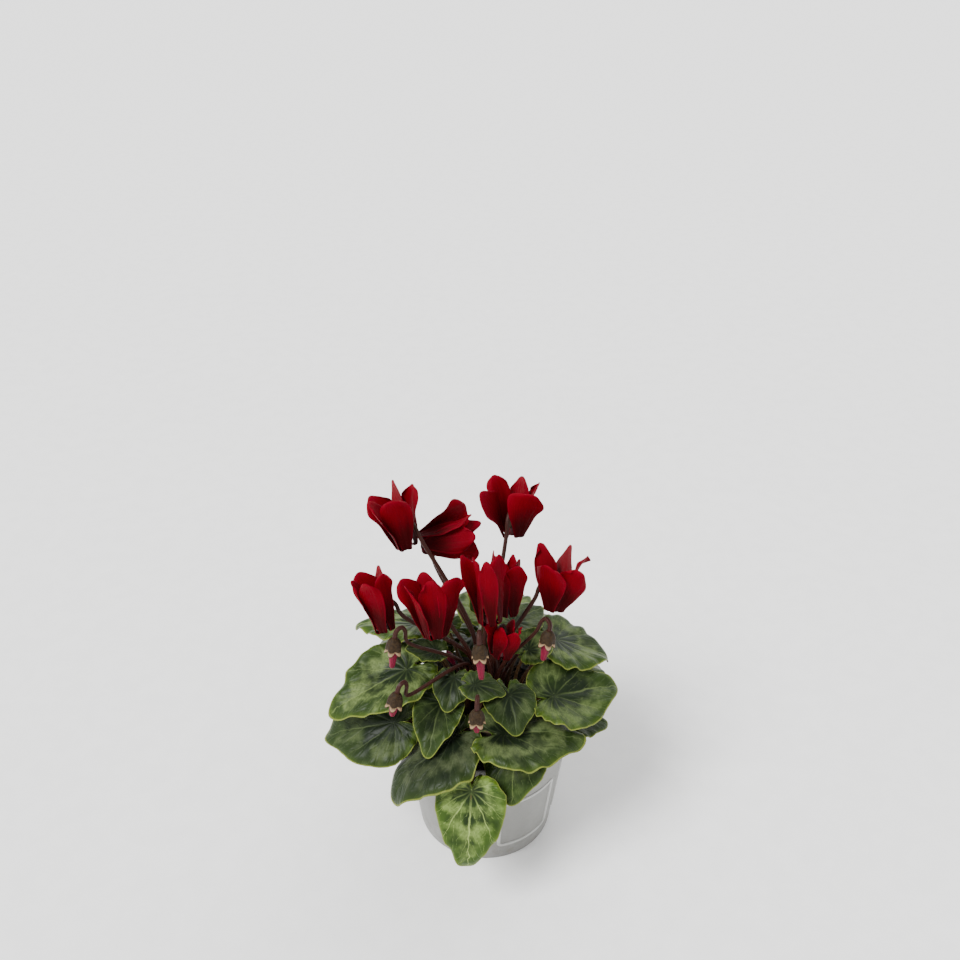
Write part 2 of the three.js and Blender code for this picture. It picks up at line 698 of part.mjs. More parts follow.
function youngBudSolid(bud) {
  const base = rootPoint(bud.root);
  const tip = new THREE.Vector3(...bud.tip);
  const shoulder = base.clone().addScaledVector(UP, ROOT_DEPTH + 4);
  const high = new THREE.Vector3(base.x, base.y, THREE.MathUtils.lerp(base.z, tip.z, 0.6));
  const curve = new THREE.CatmullRomCurve3([base, shoulder, high, tip], false, 'centripetal');
  const aim = new THREE.Quaternion().setFromUnitVectors(UP, curve.getTangent(1));
  const head = turned(YOUNG_BUD, 6).applyQuaternion(aim).translate(...tip.toArray());
  return solid(head).add(solid(tube(curve, BUD_STALK_RADIUS, STALK_SIDES, 6)));
}

// Assembly

const group = new THREE.Group();
const stems = [];

group.add(mesh('pot', pot(), 'pot'));
group.add(mesh('soil', soil(), 'soil'));
LEAVES.forEach((leaf, i) => {
  group.add(mesh(`leaf_${String(i + 1).padStart(2, '0')}`, leafSolid(leaf), 'leaf'));
  stems.push({ root: leaf.root, radius: PETIOLE_RADIUS });
});
BLOOMS.forEach((bloom, i) => {
  group.add(mesh(`bloom_${i + 1}`, bloomSolid(bloom), 'bloom'));
  group.add(mesh(`stalk_${i + 1}`, stalkSolid(bloom), 'stalk'));
  stems.push({ root: bloom.root, radius: STALK_RADIUS });
});
BUDS.forEach((bud, i) => {
  group.add(mesh(`bud_${i + 1}`, budSolid(bud), 'bud'));
  group.add(mesh(`bud_stalk_${i + 1}`, budStalkSolid(bud), 'stalk'));
  stems.push({ root: bud.root, radius: BUD_STALK_RADIUS });
});
YOUNG_BUDS.forEach((bud, i) => {
  group.add(mesh(`young_bud_${i + 1}`, youngBudSolid(bud), 'stalk'));
  stems.push({ root: bud.root, radius: BUD_STALK_RADIUS });
});
group.add(mesh('corm', corm(stems), 'corm'));

export default group;
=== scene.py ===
import math

import bpy
import numpy as np
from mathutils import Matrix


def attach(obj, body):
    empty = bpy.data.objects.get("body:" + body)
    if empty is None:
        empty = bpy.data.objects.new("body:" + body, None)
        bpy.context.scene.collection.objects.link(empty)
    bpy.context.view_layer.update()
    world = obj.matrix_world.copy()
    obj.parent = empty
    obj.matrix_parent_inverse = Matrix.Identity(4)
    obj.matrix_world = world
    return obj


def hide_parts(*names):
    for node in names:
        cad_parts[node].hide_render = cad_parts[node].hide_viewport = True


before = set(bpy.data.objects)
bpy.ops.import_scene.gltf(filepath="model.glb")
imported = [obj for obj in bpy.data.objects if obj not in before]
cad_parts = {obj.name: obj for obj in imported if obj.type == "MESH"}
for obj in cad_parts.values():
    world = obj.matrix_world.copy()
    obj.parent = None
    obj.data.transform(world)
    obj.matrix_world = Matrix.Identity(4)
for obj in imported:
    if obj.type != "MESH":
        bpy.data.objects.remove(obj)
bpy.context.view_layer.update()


# Camera, at the photograph's angle

scene = bpy.context.scene
camera_data = bpy.data.cameras.new("camera")
camera_data.lens = 36.4
camera_data.sensor_width = 36
camera_data.clip_start = 0.01
camera = bpy.data.objects.new("camera", camera_data)
camera.location = (-0.0033, -0.434, 0.508)
camera.rotation_euler = (math.radians(58.98), 0, 0)
scene.collection.objects.link(camera)
scene.camera = camera

# Sizes, in millimetres as the part's source has them

MM = 0.001
TURN = math.pi / 180
UP = np.array([0.0, 0.0, 1.0])
random = np.random.default_rng(7)

POT_HEIGHT = 88
POT_BASE_RADIUS = 41.6
POT_RIM_RADIUS = 52.5
POT_WALL = 1.3
POT_TAPER = 0.117
RIM_BAND = 10
FOOT_DEPTH = 2.4
FLOOR_TOP = 3.9
DRAIN_RADIUS = 4
DRAIN_CIRCLE = 26
DRAIN_COUNT = 6

# Raised frames on the pot wall: first and last azimuth in degrees, then their height and section
WALL_FRAMES = [(-81, -32), (-17, 30)]
FRAME_LOW = 12
FRAME_HIGH = 55
FRAME_CORNER = 2.6
FRAME_BORDER = 2.4
FRAME_SECTION = [
    (-1.25, -0.3), (-1.15, 0.35), (-0.8, 0.66), (0, 0.7), (0.8, 0.66), (1.15, 0.35), (1.25, -0.3),
]

SOIL_TOP = 80
SOIL_BOTTOM = 4.2
SOIL_DISH = 26
CRUMB_COUNT = 1150
CORM_RADIUS = 25.5
CORM_CROWN = 87
CORM_SHOULDER = 80
CORM_BOTTOM = 62
ROOT_DEPTH = 3.6

# Leaves and stems. A taper gives shares of a stem's length, then the factors on its radius there
LEAF_THICKNESS = 0.7
LEAF_SIDES = 132
LEAF_RINGS = 15
PETIOLE_RADIUS = 1.3
PETIOLE_TAPER = ([0, 0.15, 0.9, 1], [1.1, 1, 0.88, 0.6])

STALK_RADIUS = 1.4
STALK_TAPER = ([0, 0.1, 0.85, 1], [1.12, 1.02, 0.86, 0.95])
STALK_LEAN = 0.5
BUD_STALK_RADIUS = 1.1
BUD_STALK_TAPER = ([0, 0.1, 0.85, 1], [1.12, 1.02, 0.95, 1.25])

# Twist of the rolled petals of a bud, in radians for each millimetre of height
BUD_TURN = 0.1

PETAL_COUNT = 5
PETAL_SPACING = 60
PETAL_SHIFT = 5
PETAL_VARIATION = (2.4, 3.1, 4.2)
PETAL_COLUMNS = 19
PETAL_ROWS = 22
CURL_ROWS = 9
EAR_WIDTH = 0.7
MOUTH_RADIUS = 3
CURL_RADIUS = 1.5
CURL_SHARE = 0.4

# How a stalk hooks over into its calyx: its reach, the top of the hook and its seat, above the mouth
STALK_HOOK = (10, 15, 8)
BUD_HOOK = (8, 14, 7.6)

# Turned forms as radius and height above the mouth
COROLLA_CUP = [
    (0, 6.4), (1.4, 6.3), (2.3, 5.9), (2.9, 4.8), (3.35, 3.2), (3.45, 1.6), (3.4, 0.5), (3.2, 0.05),
    (2.85, -0.05), (2.6, 0.3), (2.3, 1.6), (1.6, 3.4), (0, 4.4),
]
ANTHERS = [(0, 4.6), (1.3, 4.2), (1.25, 2.2), (0.75, 0.4), (0.3, 0.1), (0.24, -1.1), (0, -1.25)]
CALYX = [
    (0, 9.9), (1.3, 9.7), (1.9, 9.2), (2.4, 8.5), (2.9, 7.7), (3.3, 7.0), (3.6, 6.5), (3.55, 6.25),
    (3.0, 6.3), (1.8, 6.6), (0, 6.7),
]
BUD_CALYX = [
    (0, 8.6), (1.2, 8.45), (2.0, 8.1), (2.9, 7.1), (3.6, 5.8), (4.1, 4.2), (4.25, 2.6), (4.15, 1.2),
    (4.1, 0.1), (4.05, -0.6), (3.75, -0.65), (3.55, -0.1), (3.4, 1.2), (3.3, 3), (2.6, 5), (1.4, 6.1),
    (0, 6.4),
]
YOUNG_BUD = [
    (0, -1.2), (1.1, -0.8), (1.6, 0.8), (2.0, 2.4), (2.2, 4), (2.0, 5.8), (1.4, 7.5), (0.7, 8.8), (0, 9.5),
]

# Leaves: joint, tip, roll, droop, fold, curl, wave, phase, width, heel, root; then how silvery and how
# light the blade is; rise and arrive shape the petiole where they are given
LEAVES = [
    dict(joint=(-53, -28, 101), tip=(-95, -21, 84), roll=-38, droop=25, fold=0.28, curl=0.1,
         wave=1.2, phase=0, width=0.84, heel=0.6, root=(22.6, 200), silver=0.4, light=0.2),
    dict(joint=(-19, -41, 102.5), tip=(-53, -62, 73), roll=7, droop=40, fold=0.04, curl=0.2,
         wave=1, phase=1, width=0.88, heel=0.5, root=(22.6, 240), silver=0.75, light=0.06),
    dict(joint=(-8, -64, 85), tip=(-10, -79, 40), roll=0, droop=30, fold=0.25, curl=0.1,
         wave=1.5, phase=2, width=0.66, heel=0.3, root=(22.6, 262), rise=22, arrive=-60,
         silver=0.55, light=1),
    dict(joint=(17, -44.2, 98.7), tip=(14, -66.5, 76), roll=5, droop=25, fold=0.1, curl=0.2,
         wave=1.3, phase=3, width=0.95, heel=0.38, root=(22.6, 288), silver=0.45, light=0.4),
    dict(joint=(43, -18, 98), tip=(73, -14, 86), roll=10, droop=20, fold=0.2, curl=0.2,
         wave=1, phase=4, width=0.85, heel=0.8, root=(22.6, 335), silver=0.3, light=0.2),
    dict(joint=(47, 22, 96), tip=(76, 44, 80), roll=0, droop=35, fold=0.18, curl=0.3,
         wave=1.2, phase=5, width=0.92, heel=0.8, root=(22.6, 24), silver=0.5, light=0.35),
    dict(joint=(24, 46, 107), tip=(42, 84, 87), roll=6, droop=40, fold=0.18, curl=0.3,
         wave=1.3, phase=0.5, width=0.92, heel=0.8, root=(22.6, 60), silver=0.65, light=0.4),
    dict(joint=(-8, 53, 97), tip=(-14, 92, 78), roll=0, droop=35, fold=0.18, curl=0.3,
         wave=1.3, phase=1.5, width=0.9, heel=0.8, root=(22.6, 98), silver=0.5, light=0.5),
    dict(joint=(-38, 37, 107), tip=(-66, 66, 84), roll=4, droop=40, fold=0.1, curl=0.3,
         wave=1.4, phase=2.5, width=0.9, heel=0.8, root=(22.6, 134), silver=0.6, light=0.3),
    dict(joint=(-52, 8, 98), tip=(-88, 20, 82), roll=4, droop=30, fold=0.18, curl=0.3,
         wave=1.2, phase=3.5, width=0.85, heel=0.8, root=(22.6, 170), silver=0.45, light=0.4),
    dict(joint=(-46, -9, 124), tip=(-91, -26, 105), roll=-14, droop=20, fold=0.28, curl=0.1,
         wave=1.3, phase=4.5, width=0.7, heel=0.6, root=(19, 192), silver=0.82, light=0.42),
    dict(joint=(-25, -26.5, 115), tip=(-33, -54, 100), roll=0, droop=30, fold=0.4, curl=0,
         wave=1, phase=5.5, width=0.7, heel=0.6, root=(19, 222), silver=0.35, light=0.25),
    dict(joint=(10, -45, 110), tip=(56, -43, 102), roll=4, droop=25, fold=0.2, curl=0.35,
         wave=1, phase=0.2, width=0.84, heel=0.75, root=(19, 292), silver=0.9, light=0.22),
    dict(joint=(39, -25, 119), tip=(77, -8, 111), roll=20, droop=10, fold=0.25, curl=0,
         wave=1.4, phase=1.2, width=0.9, heel=0.7, root=(19, 326), silver=0.55, light=0.36),
    dict(joint=(42, 11, 129.6), tip=(75, 14, 113), roll=0, droop=25, fold=0.22, curl=0.2,
         wave=1.3, phase=2.2, width=1, heel=0.7, root=(19, 12), silver=0.6, light=0.45),
    dict(joint=(26, 30, 119), tip=(54, 60, 103), roll=0, droop=25, fold=0.18, curl=0.2,
         wave=1.3, phase=3.2, width=0.9, heel=0.7, root=(19, 48), silver=0.5, light=0.3),
    dict(joint=(4, 38, 130), tip=(10, 78, 115), roll=0, droop=30, fold=0.18, curl=0.2,
         wave=1.2, phase=4.2, width=0.9, heel=0.7, root=(19, 84), silver=0.75, light=0.4),
    dict(joint=(-24, 34, 121), tip=(-44, 66, 105), roll=10, droop=25, fold=0.1, curl=0.2,
         wave=1.3, phase=5.2, width=0.92, heel=0.7, root=(19, 127), silver=0.5, light=0.45),
    dict(joint=(-42, 19, 135), tip=(-80, 31, 124), roll=8, droop=25, fold=0.18, curl=0.2,
         wave=1.2, phase=0.8, width=0.75, heel=0.6, root=(19, 160), silver=0.5, light=0.6),
    dict(joint=(-18, -20.5, 128.5), tip=(-22, -37, 118), roll=0, droop=30, fold=0.18, curl=0.3,
         wave=0.8, phase=1.8, width=0.95, heel=0.55, root=(15.6, 230), silver=0.35, light=0.1),
    dict(joint=(-6, -31, 133), tip=(11, -33, 128), roll=10, droop=25, fold=0.18, curl=0.2,
         wave=0.7, phase=2.8, width=0.9, heel=0.9, root=(15.6, 253), silver=0.3, light=0.15),
    dict(joint=(13, -32, 126), tip=(17, -51, 114), roll=-5, droop=25, fold=0.2, curl=0.3,
         wave=0.8, phase=3.8, width=1.05, heel=0.8, root=(15.6, 306), silver=0.45, light=0.15),
    dict(joint=(25, -4, 135), tip=(40, 6, 139), roll=15, droop=10, fold=0.2, curl=0,
         wave=1.2, phase=4.8, width=1, heel=0.8, root=(15.6, 354), silver=0.6, light=0.35),
    dict(joint=(0, 28, 143), tip=(-8, 41, 161), roll=0, droop=15, fold=0.2, curl=0,
         wave=1, phase=5.8, width=0.7, heel=0.5, root=(15.6, 98), silver=0.2, light=0.1),
    dict(joint=(17, 18, 137), tip=(35, 36, 134), roll=5, droop=20, fold=0.18, curl=0.2,
         wave=1, phase=0.4, width=0.9, heel=0.6, root=(15.6, 50), silver=0.45, light=0.3),
    dict(joint=(-24, 10, 143), tip=(-44, 22, 143), roll=5, droop=20, fold=0.18, curl=0.2,
         wave=1, phase=1.4, width=0.85, heel=0.7, root=(15.6, 148), silver=0.4, light=0.25),
    dict(joint=(-29, -7, 137), tip=(-46, -9, 140), roll=-8, droop=10, fold=0.2, curl=0,
         wave=0.9, phase=2.4, width=0.85, heel=0.8, root=(15.6, 190), silver=0.35, light=0.12),
]

BLOOMS = [
    dict(nose=(-45, 24, 188.5), top=(-55.5, 37, 227), petal=33, half=9.2, open=10, flare=10, twist=34,
         ear=(1, 15, 1.14), root=(8, 152)),
    dict(nose=(-38, 44, 177), top=(0, 51, 183), petal=32, half=9.4, open=8, flare=9, twist=30,
         gap=(0, 0, -1), ear=(0, 10, 1.2), root=(8, 117)),
    dict(nose=(16, 40.4, 186), top=(15, 46.4, 224), petal=31, half=9.5, open=14, flare=10, twist=36,
         ear=(3, -20, 1.07), root=(8, 60)),
    dict(nose=(-55.2, -18, 163), top=(-63.7, -7, 198), petal=32, half=7.2, open=4, flare=8, twist=34,
         ear=(4, -30, 1), root=(8, 190)),
    dict(nose=(-27.4, -24.6, 163.2), top=(-33, -9.6, 199.2), petal=33, half=8, open=9, flare=7, twist=28,
         root=(8, 222)),
    dict(nose=(2.3, -22, 170.5), top=(-2.6, -9, 212), petal=38, half=5.6, open=1.5, flare=4, twist=30,
         root=(8, 254)),
    dict(nose=(12.5, 0, 159), top=(11, 12, 198), petal=31, half=5.8, open=3, flare=4, twist=32,
         root=(8, 318)),
    dict(nose=(37.5, -2, 165), top=(41, 6, 203), petal=33, half=10, open=13, flare=11, twist=36,
         ear=(4, 35, 1), root=(8, 352)),
    dict(nose=(8.5, -24, 149.4), top=(13, -20, 173.4), petal=18.5, half=5.3, open=4, flare=-4, twist=24,
         root=(8, 286)),
]

BUDS = [
    dict(nose=(-51, -36, 150), top=(-49, -34, 168), bare=11, root=(12.2, 200), lean=0.5),
    dict(nose=(-51, -50, 128), top=(-47, -47, 146), bare=7, root=(12.2, 215), lean=0.82),
    dict(nose=(-5, -59, 125), top=(-5, -57, 143), bare=6.5, root=(12.2, 271), lean=0.5),
    dict(nose=(-2.5, -43, 148), top=(-3.5, -41, 166), bare=14, root=(12.2, 283), lean=0.5),
    dict(nose=(31, -30, 150), top=(34, -28, 168), bare=11, root=(12.2, 312), lean=0.5),
]

YOUNG_BUDS = [
    dict(root=(12.2, 178), tip=(-19, 2, 120)),
    dict(root=(12.2, 28), tip=(19, 6, 124)),
]


# Geometry helpers: arrays of points in millimetres

def unit(v):
    return v / np.maximum(np.linalg.norm(v, axis=-1, keepdims=True), 1e-9)


def smooth_step(x, low, high):
    t = np.clip((x - low) / (high - low), 0, 1)
    return t * t * (3 - 2 * t)


def polar(radius, azimuth, z):
    return np.array([radius * math.cos(azimuth * TURN), radius * math.sin(azimuth * TURN), z])


def ring_faces(rows, sides, flip=False):
    """Quads between rows of points, each row a closed ring."""
    first = sides * np.arange(rows - 1)[:, None]
    column = np.arange(sides)[None, :]
    a, b = first + column, first + (column + 1) % sides
    quads = np.stack([a, b, b + sides, a + sides], axis=-1).reshape(-1, 4)
    return (quads[:, ::-1] if flip else quads).tolist()


def fan(centre, first, sides, flip=False):
    """Triangles from one point to the ring that starts at point number first."""
    faces = [(centre, first + k, first + (k + 1) % sides) for k in range(sides)]
    return [face[::-1] for face in faces] if flip else faces


def skin_faces(rows, sides, flip=False):
    """Faces over rows of rings, closed by the two end points that follow the rings in the list."""
    count = rows * sides
    ends = fan(count, 0, sides, not flip) + fan(count + 1, count - sides, sides, flip)
    return ring_faces(rows, sides, flip) + ends


def show(item):
    scene.collection.objects.link(item)


def apply_modifier(piece, kind, **settings):
    modifier = piece.modifiers.new(kind, kind)
    for key, value in settings.items():
        setattr(modifier, key, value)
    bpy.context.view_layer.objects.active = piece
    bpy.ops.object.modifier_apply(modifier=modifier.name)


class Builder:
    """Collects points, faces, material numbers and one vector of surface coordinates for each point."""

    def __init__(self):
        self.points, self.faces, self.slots, self.coords = [], [], [], []
        self.count = 0

    def add(self, points, faces, slot=0, coords=None):
        points = np.asarray(points, float)
        self.points.append(points)
        self.coords.append(np.zeros_like(points) if coords is None else coords)
        self.faces += [tuple(k + self.count for k in face) for face in faces]
        self.slots += slot if isinstance(slot, list) else [slot] * len(faces)
        self.count += len(points)

    def finish(self, name, materials, slot, replaces, tone=(0, 0, 0)):
        mesh = bpy.data.meshes.new(name)
        mesh.from_pydata((np.concatenate(self.points) * MM).tolist(), [], self.faces)
        mesh.polygons.foreach_set("material_index", self.slots)
        mesh.polygons.foreach_set("use_smooth", [True] * len(self.faces))
        tones = np.tile(np.asarray(tone, float), (self.count, 1))
        for key, values in (("flat", np.concatenate(self.coords)), ("tone", tones)):
            layer = mesh.attributes.new(key, "FLOAT_VECTOR", "POINT")
            layer.data.foreach_set("vector", values.astype(np.float32).ravel())
        for material in materials:
            mesh.materials.append(material)
        mesh.validate()
        mesh.update()
        piece = bpy.data.objects.new(name, mesh)
        show(piece)
        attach(piece, "root")
        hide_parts(replaces)
        return piece


def add_turned(builder, profile, sides, slot=0, own_frame=None, lift=0.0, shape=None, shade=None):
    """A turned form from (radius, height) pairs that start and end on the axis.

    shape bends its rings; shade changes the share of its profile that its material reads.
    """
    profile = np.asarray(profile, float)
    inner = profile[1:-1]
    size = (len(inner), sides)
    r, z = (np.broadcast_to(inner[:, k:k + 1], size) for k in (0, 1))
    t = np.broadcast_to(np.arange(sides) * math.tau / sides, size)
    share = np.broadcast_to(np.linspace(0, 1, len(inner))[:, None], size)
    if shape:
        r, z, t = shape(r, z, t, share)
    points = np.stack([r * np.cos(t), r * np.sin(t), z], axis=-1).reshape(-1, 3)
    points = np.concatenate([points, [[0, 0, profile[0, 1]], [0, 0, profile[-1, 1]]]])
    if own_frame:
        points = from_bloom(own_frame, points, lift)
    if shade:
        share = shade(share)
    coords = np.stack([t, share, z], axis=-1).reshape(-1, 3)
    coords = np.concatenate([coords, [[0, 0, 0], [0, 1, 0]]])
    falling = profile[0, 1] >= profile[-1, 1]
    builder.add(points, skin_faces(*size, flip=falling), slot, coords)


def spaced(curve, samples):
    length = np.concatenate([[0], np.cumsum(np.linalg.norm(np.diff(curve, axis=0), axis=1))])
    at = np.linspace(0, length[-1], samples)
    return np.stack([np.interp(at, length, curve[:, k]) for k in range(3)], axis=-1)


def spline(points, samples):
    """A smooth curve through the points: a centripetal Catmull-Rom spline, evenly spaced."""
    points = np.asarray(points, float)
    ends = [2 * points[0] - points[1], *points, 2 * points[-1] - points[-2]]
    t = np.linspace(0, 1, 24, endpoint=False)[:, None]
    curve = []
    for near in zip(ends, ends[1:], ends[2:], ends[3:]):
        p0, p1, p2, p3 = near
        d0, d1, d2 = (max(math.sqrt(np.linalg.norm(b - a)), 1e-4) for a, b in zip(near, near[1:]))
        m1 = ((p1 - p0) / d0 - (p2 - p0) / (d0 + d1) + (p2 - p1) / d1) * d1
        m2 = ((p2 - p1) / d1 - (p3 - p1) / (d1 + d2) + (p3 - p2) / d2) * d1
        square = 3 * (p2 - p1) - 2 * m1 - m2
        cube = 2 * (p1 - p2) + m1 + m2
        curve.append(p1 + m1 * t + square * t ** 2 + cube * t ** 3)
    return spaced(np.concatenate([*curve, points[-1:]]), samples)


def add_tube(builder, path, radius, taper, sides, slot=0):
    """A tube along a path, closed by a point at each end."""
    along = np.linspace(0, 1, len(path))
    tangents = unit(np.gradient(path, axis=0))
    side = unit(np.cross(tangents[0], [0.3, 1, 0.2]))
    theta = np.arange(sides) * math.tau / sides
    rings = []
    for point, tangent, wide in zip(path, tangents, radius * np.interp(along, *taper)):
        side = unit(side - np.dot(side, tangent) * tangent)
        other = np.cross(tangent, side)
        rings.append(point + wide * (np.outer(np.cos(theta), side) + np.outer(np.sin(theta), other)))
    points = np.concatenate(rings + [path[:1] - tangents[0] * 0.2, path[-1:] + tangents[-1] * 0.2])
    share = np.repeat(along, sides)
    coords = np.stack([np.tile(theta, len(path)), share, share], axis=-1)
    coords = np.concatenate([coords, [[0, 0, 0], [0, 1, 1]]])
    builder.add(points, skin_faces(len(path), sides), slot, coords)


# Materials

class Look:
    """A node material, with short calls for the nodes it needs."""

    def __init__(self, name, **sockets):
        self.material = bpy.data.materials.new(name)
        self.material.use_nodes = True
        self.nodes = self.material.node_tree.nodes
        self.links = self.material.node_tree.links
        self.shader = self.nodes["Principled BSDF"]
        for key, value in sockets.items():
            self.shader.inputs[key.replace("_", " ")].default_value = value

    def add(self, kind, inputs, **settings):
        node = self.nodes.new("ShaderNode" + kind)
        for key, value in settings.items():
            setattr(node, key, value)
        for key, value in inputs.items():
            if isinstance(value, bpy.types.NodeSocket):
                self.links.new(value, node.inputs[key])
            else:
                node.inputs[key].default_value = value
        return node

    def math(self, operation, a, b=0.0):
        return self.add("Math", {0: a, 1: b}, operation=operation).outputs[0]

    def plus(self, first, *others):
        for other in others:
            first = self.math("ADD", first, other)
        return first

    def times(self, first, *others):
        for other in others:
            first = self.math("MULTIPLY", first, other)
        return first

    def minus(self, a, b):
        return self.math("SUBTRACT", a, b)

    def smooth(self, value, low, high, start=0.0, end=1.0):
        inputs = {0: value, 1: low, 2: high, 3: start, 4: end}
        return self.add("MapRange", inputs, interpolation_type="SMOOTHSTEP").outputs[0]

    def mix(self, factor, a, b):
        a, b = (x if isinstance(x, bpy.types.NodeSocket) else (*x, 1) for x in (a, b))
        return self.add("Mix", {0: factor, 6: a, 7: b}, data_type="RGBA").outputs[2]

    def noise(self, vector, scale, detail=3.0, roughness=0.5):
        inputs = {"Vector": vector, "Scale": scale, "Detail": detail, "Roughness": roughness}
        return self.add("TexNoise", inputs).outputs[0]

    def attribute(self, name):
        vector = self.add("Attribute", {}, attribute_name=name).outputs["Vector"]
        return self.add("SeparateXYZ", {0: vector}).outputs

    def place(self):
        return self.add("TexCoord", {}).outputs["Object"]

    def vector(self, x, y, z):
        return self.add("CombineXYZ", {0: x, 1: y, 2: z}).outputs[0]

    def finish(self, colour, roughness, height, distance):
        bump = self.add("Bump", {"Strength": 1.0, "Distance": distance, "Height": height})
        self.links.new(bump.outputs[0], self.shader.inputs["Normal"])
        self.links.new(colour, self.shader.inputs["Base Color"])
        self.links.new(roughness, self.shader.inputs["Roughness"])
        return self.material


# Between the main veins of a leaf, in radians, and between their branches, in millimetres
VEIN_SPACING = 0.62
BRANCH_SPACING = 4.2


def leaf_look(under):
    """Veins for either side of a leaf, then the colours of its dull underside or its marbled top."""
    look = Look("leaf_underside" if under else "leaf_blade", Specular_IOR_Level=0.11)
    x, y, rho = look.attribute("flat")
    seed, silver, light = look.attribute("tone")
    spot = look.vector(x, y, seed)
    r = look.math("SQRT", look.plus(look.times(x, x), look.times(y, y)))
    phi = look.math("ARCTAN2", y, x)
    side = look.math("ABSOLUTE", phi)
    wander = look.noise(spot, 0.14, 2.0)
    off = look.minus(wander, 0.5)
    swept = look.times(phi, look.plus(look.times(rho, 0.3), 1.0))
    swept = look.plus(swept, look.times(off, 0.2))
    offset = look.math("PINGPONG", look.math("ABSOLUTE", swept), VEIN_SPACING / 2)
    from_vein = look.times(offset, r)
    width = look.times(look.smooth(rho, 0.0, 1.0, 0.62, 0.22), look.smooth(side, 0.1, 0.35, 1.5, 1.0))
    fine = look.noise(spot, 0.8, 3.0, 0.62)
    main = look.times(
        look.smooth(look.math("DIVIDE", from_vein, width), 0.3, 1.3, 1.0, 0.0),
        look.smooth(side, 0.15, 1.0, 1.0, 0.45),
        look.smooth(rho, 0.05, 0.4, 0.2, 1.0),
        look.smooth(fine, 0.3, 0.5, 0.6, 1.0),
    )
    along = look.times(r, look.minus(1.0, look.times(offset, 1.7)))
    along = look.plus(along, look.times(off, 9.0))
    branch = look.math("PINGPONG", along, BRANCH_SPACING)
    branches = look.times(look.smooth(branch, 0.1, 0.45, 1.0, 0.0), look.smooth(fine, 0.42, 0.6))
    veins = look.math("MAXIMUM", main, look.times(branches, 0.55))
    pores = look.noise(spot, 2.6, 2.0)

    if under:
        streak = look.noise(spot, 0.22, 4.0, 0.6)
        base = look.mix(look.smooth(streak, 0.35, 0.65), (0.055, 0.075, 0.026), (0.085, 0.042, 0.034))
        base = look.mix(look.times(veins, 0.5), base, (0.14, 0.1, 0.06))
        height = look.plus(look.times(veins, 0.6), look.times(pores, 0.12))
        return look.finish(base, look.smooth(pores, 0.2, 0.8, 0.5, 0.66), height, 0.0005)

    # Silvery marbling: soft cloudy patches between the middle and the edge, feathered along the veins
    streaks = look.vector(look.times(swept, 2.0), look.times(along, 0.1), seed)
    ragged = look.minus(look.noise(streaks, 1.0, 2.0), 0.5)
    cloud = look.minus(look.noise(look.vector(x, seed, y), 0.15, 3.0, 0.42), 0.5)
    blotch = look.noise(look.vector(x, y, look.plus(seed, 3.0)), 0.09, 3.0, 0.45)
    reach = look.plus(rho, look.plus(look.times(ragged, 0.55), look.times(cloud, 0.9)))
    amount = look.plus(blotch, look.times(look.minus(silver, 0.5), 0.3))
    patch = look.times(
        look.smooth(reach, 0.26, 0.6),
        look.smooth(reach, 0.6, 0.92, 1.0, 0.0),
        look.smooth(amount, 0.32, 0.66),
        look.smooth(fine, 0.28, 0.62, 0.55, 1.0),
        look.smooth(silver, 0.0, 1.0, 0.36, 0.72),
    )

    # Each colour is given for the darkest leaf and for the lightest
    deep = look.mix(light, (0.0055, 0.0095, 0.0044), (0.0085, 0.019, 0.0045))
    green = look.mix(light, (0.0125, 0.022, 0.006), (0.033, 0.067, 0.0075))
    pale = look.mix(light, (0.055, 0.063, 0.036), (0.3, 0.42, 0.11))
    vein = look.mix(light, (0.042, 0.058, 0.027), (0.32, 0.42, 0.12))
    margin = look.mix(light, (0.03, 0.052, 0.007), (0.1, 0.165, 0.012))
    shade = look.plus(look.times(blotch, 0.9), look.times(rho, 0.6))
    base = look.mix(look.smooth(shade, 0.5, 1.05), deep, green)
    base = look.mix(patch, base, pale)
    base = look.mix(look.times(veins, look.smooth(light, 0.0, 1.0, 0.35, 0.7)), base, vein)
    rim = look.smooth(look.minus(rho, look.smooth(side, 1.5, 2.6, 0.87, 0.7)), 0.0, 0.16)
    base = look.mix(look.times(rim, look.smooth(wander, 0.35, 0.6, 0.25, 0.8)), base, margin)
    base = look.mix(look.smooth(rho, 0.968, 0.988, 0.0, 0.85), base, (0.17, 0.2, 0.036))
    quilt = look.times(
        look.smooth(from_vein, 0.0, 3.5),
        look.smooth(branch, 0.0, 2.0, 0.5, 1.0),
        look.smooth(rho, 0.1, 0.55, 0.25, 1.0),
    )
    height = look.plus(look.times(quilt, 0.5), look.times(pores, 0.1))
    height = look.minus(height, look.times(veins, 0.3))
    return look.finish(base, look.smooth(look.plus(pores, patch), 0.3, 1.6, 0.36, 0.52), height, 0.0005)


def stem_look(name, low, high, speck):
    """A ribbed fleshy stem, from one colour at its foot to another at its top; the foot colours hold some
    painted shade.
    """
    look = Look(name, Specular_IOR_Level=0.14, Coat_Weight=0.02, Coat_Roughness=0.3)
    around, share, _ = look.attribute("flat")
    place = look.place()
    mottle = look.noise(place, 420.0, 3.0, 0.6)
    base = look.mix(look.smooth(look.plus(share, look.times(mottle, 0.4)), 0.2, 1.2), low, high)
    base = look.mix(look.smooth(look.noise(place, 1500.0, 2.0), 0.6, 0.72, 0.0, 0.5), base, speck)
    ribs = look.math("SINE", look.times(around, 7.0))
    height = look.plus(look.times(ribs, 0.3), mottle)
    return look.finish(base, look.smooth(mottle, 0.3, 0.7, 0.4, 0.58), height, 0.0002)


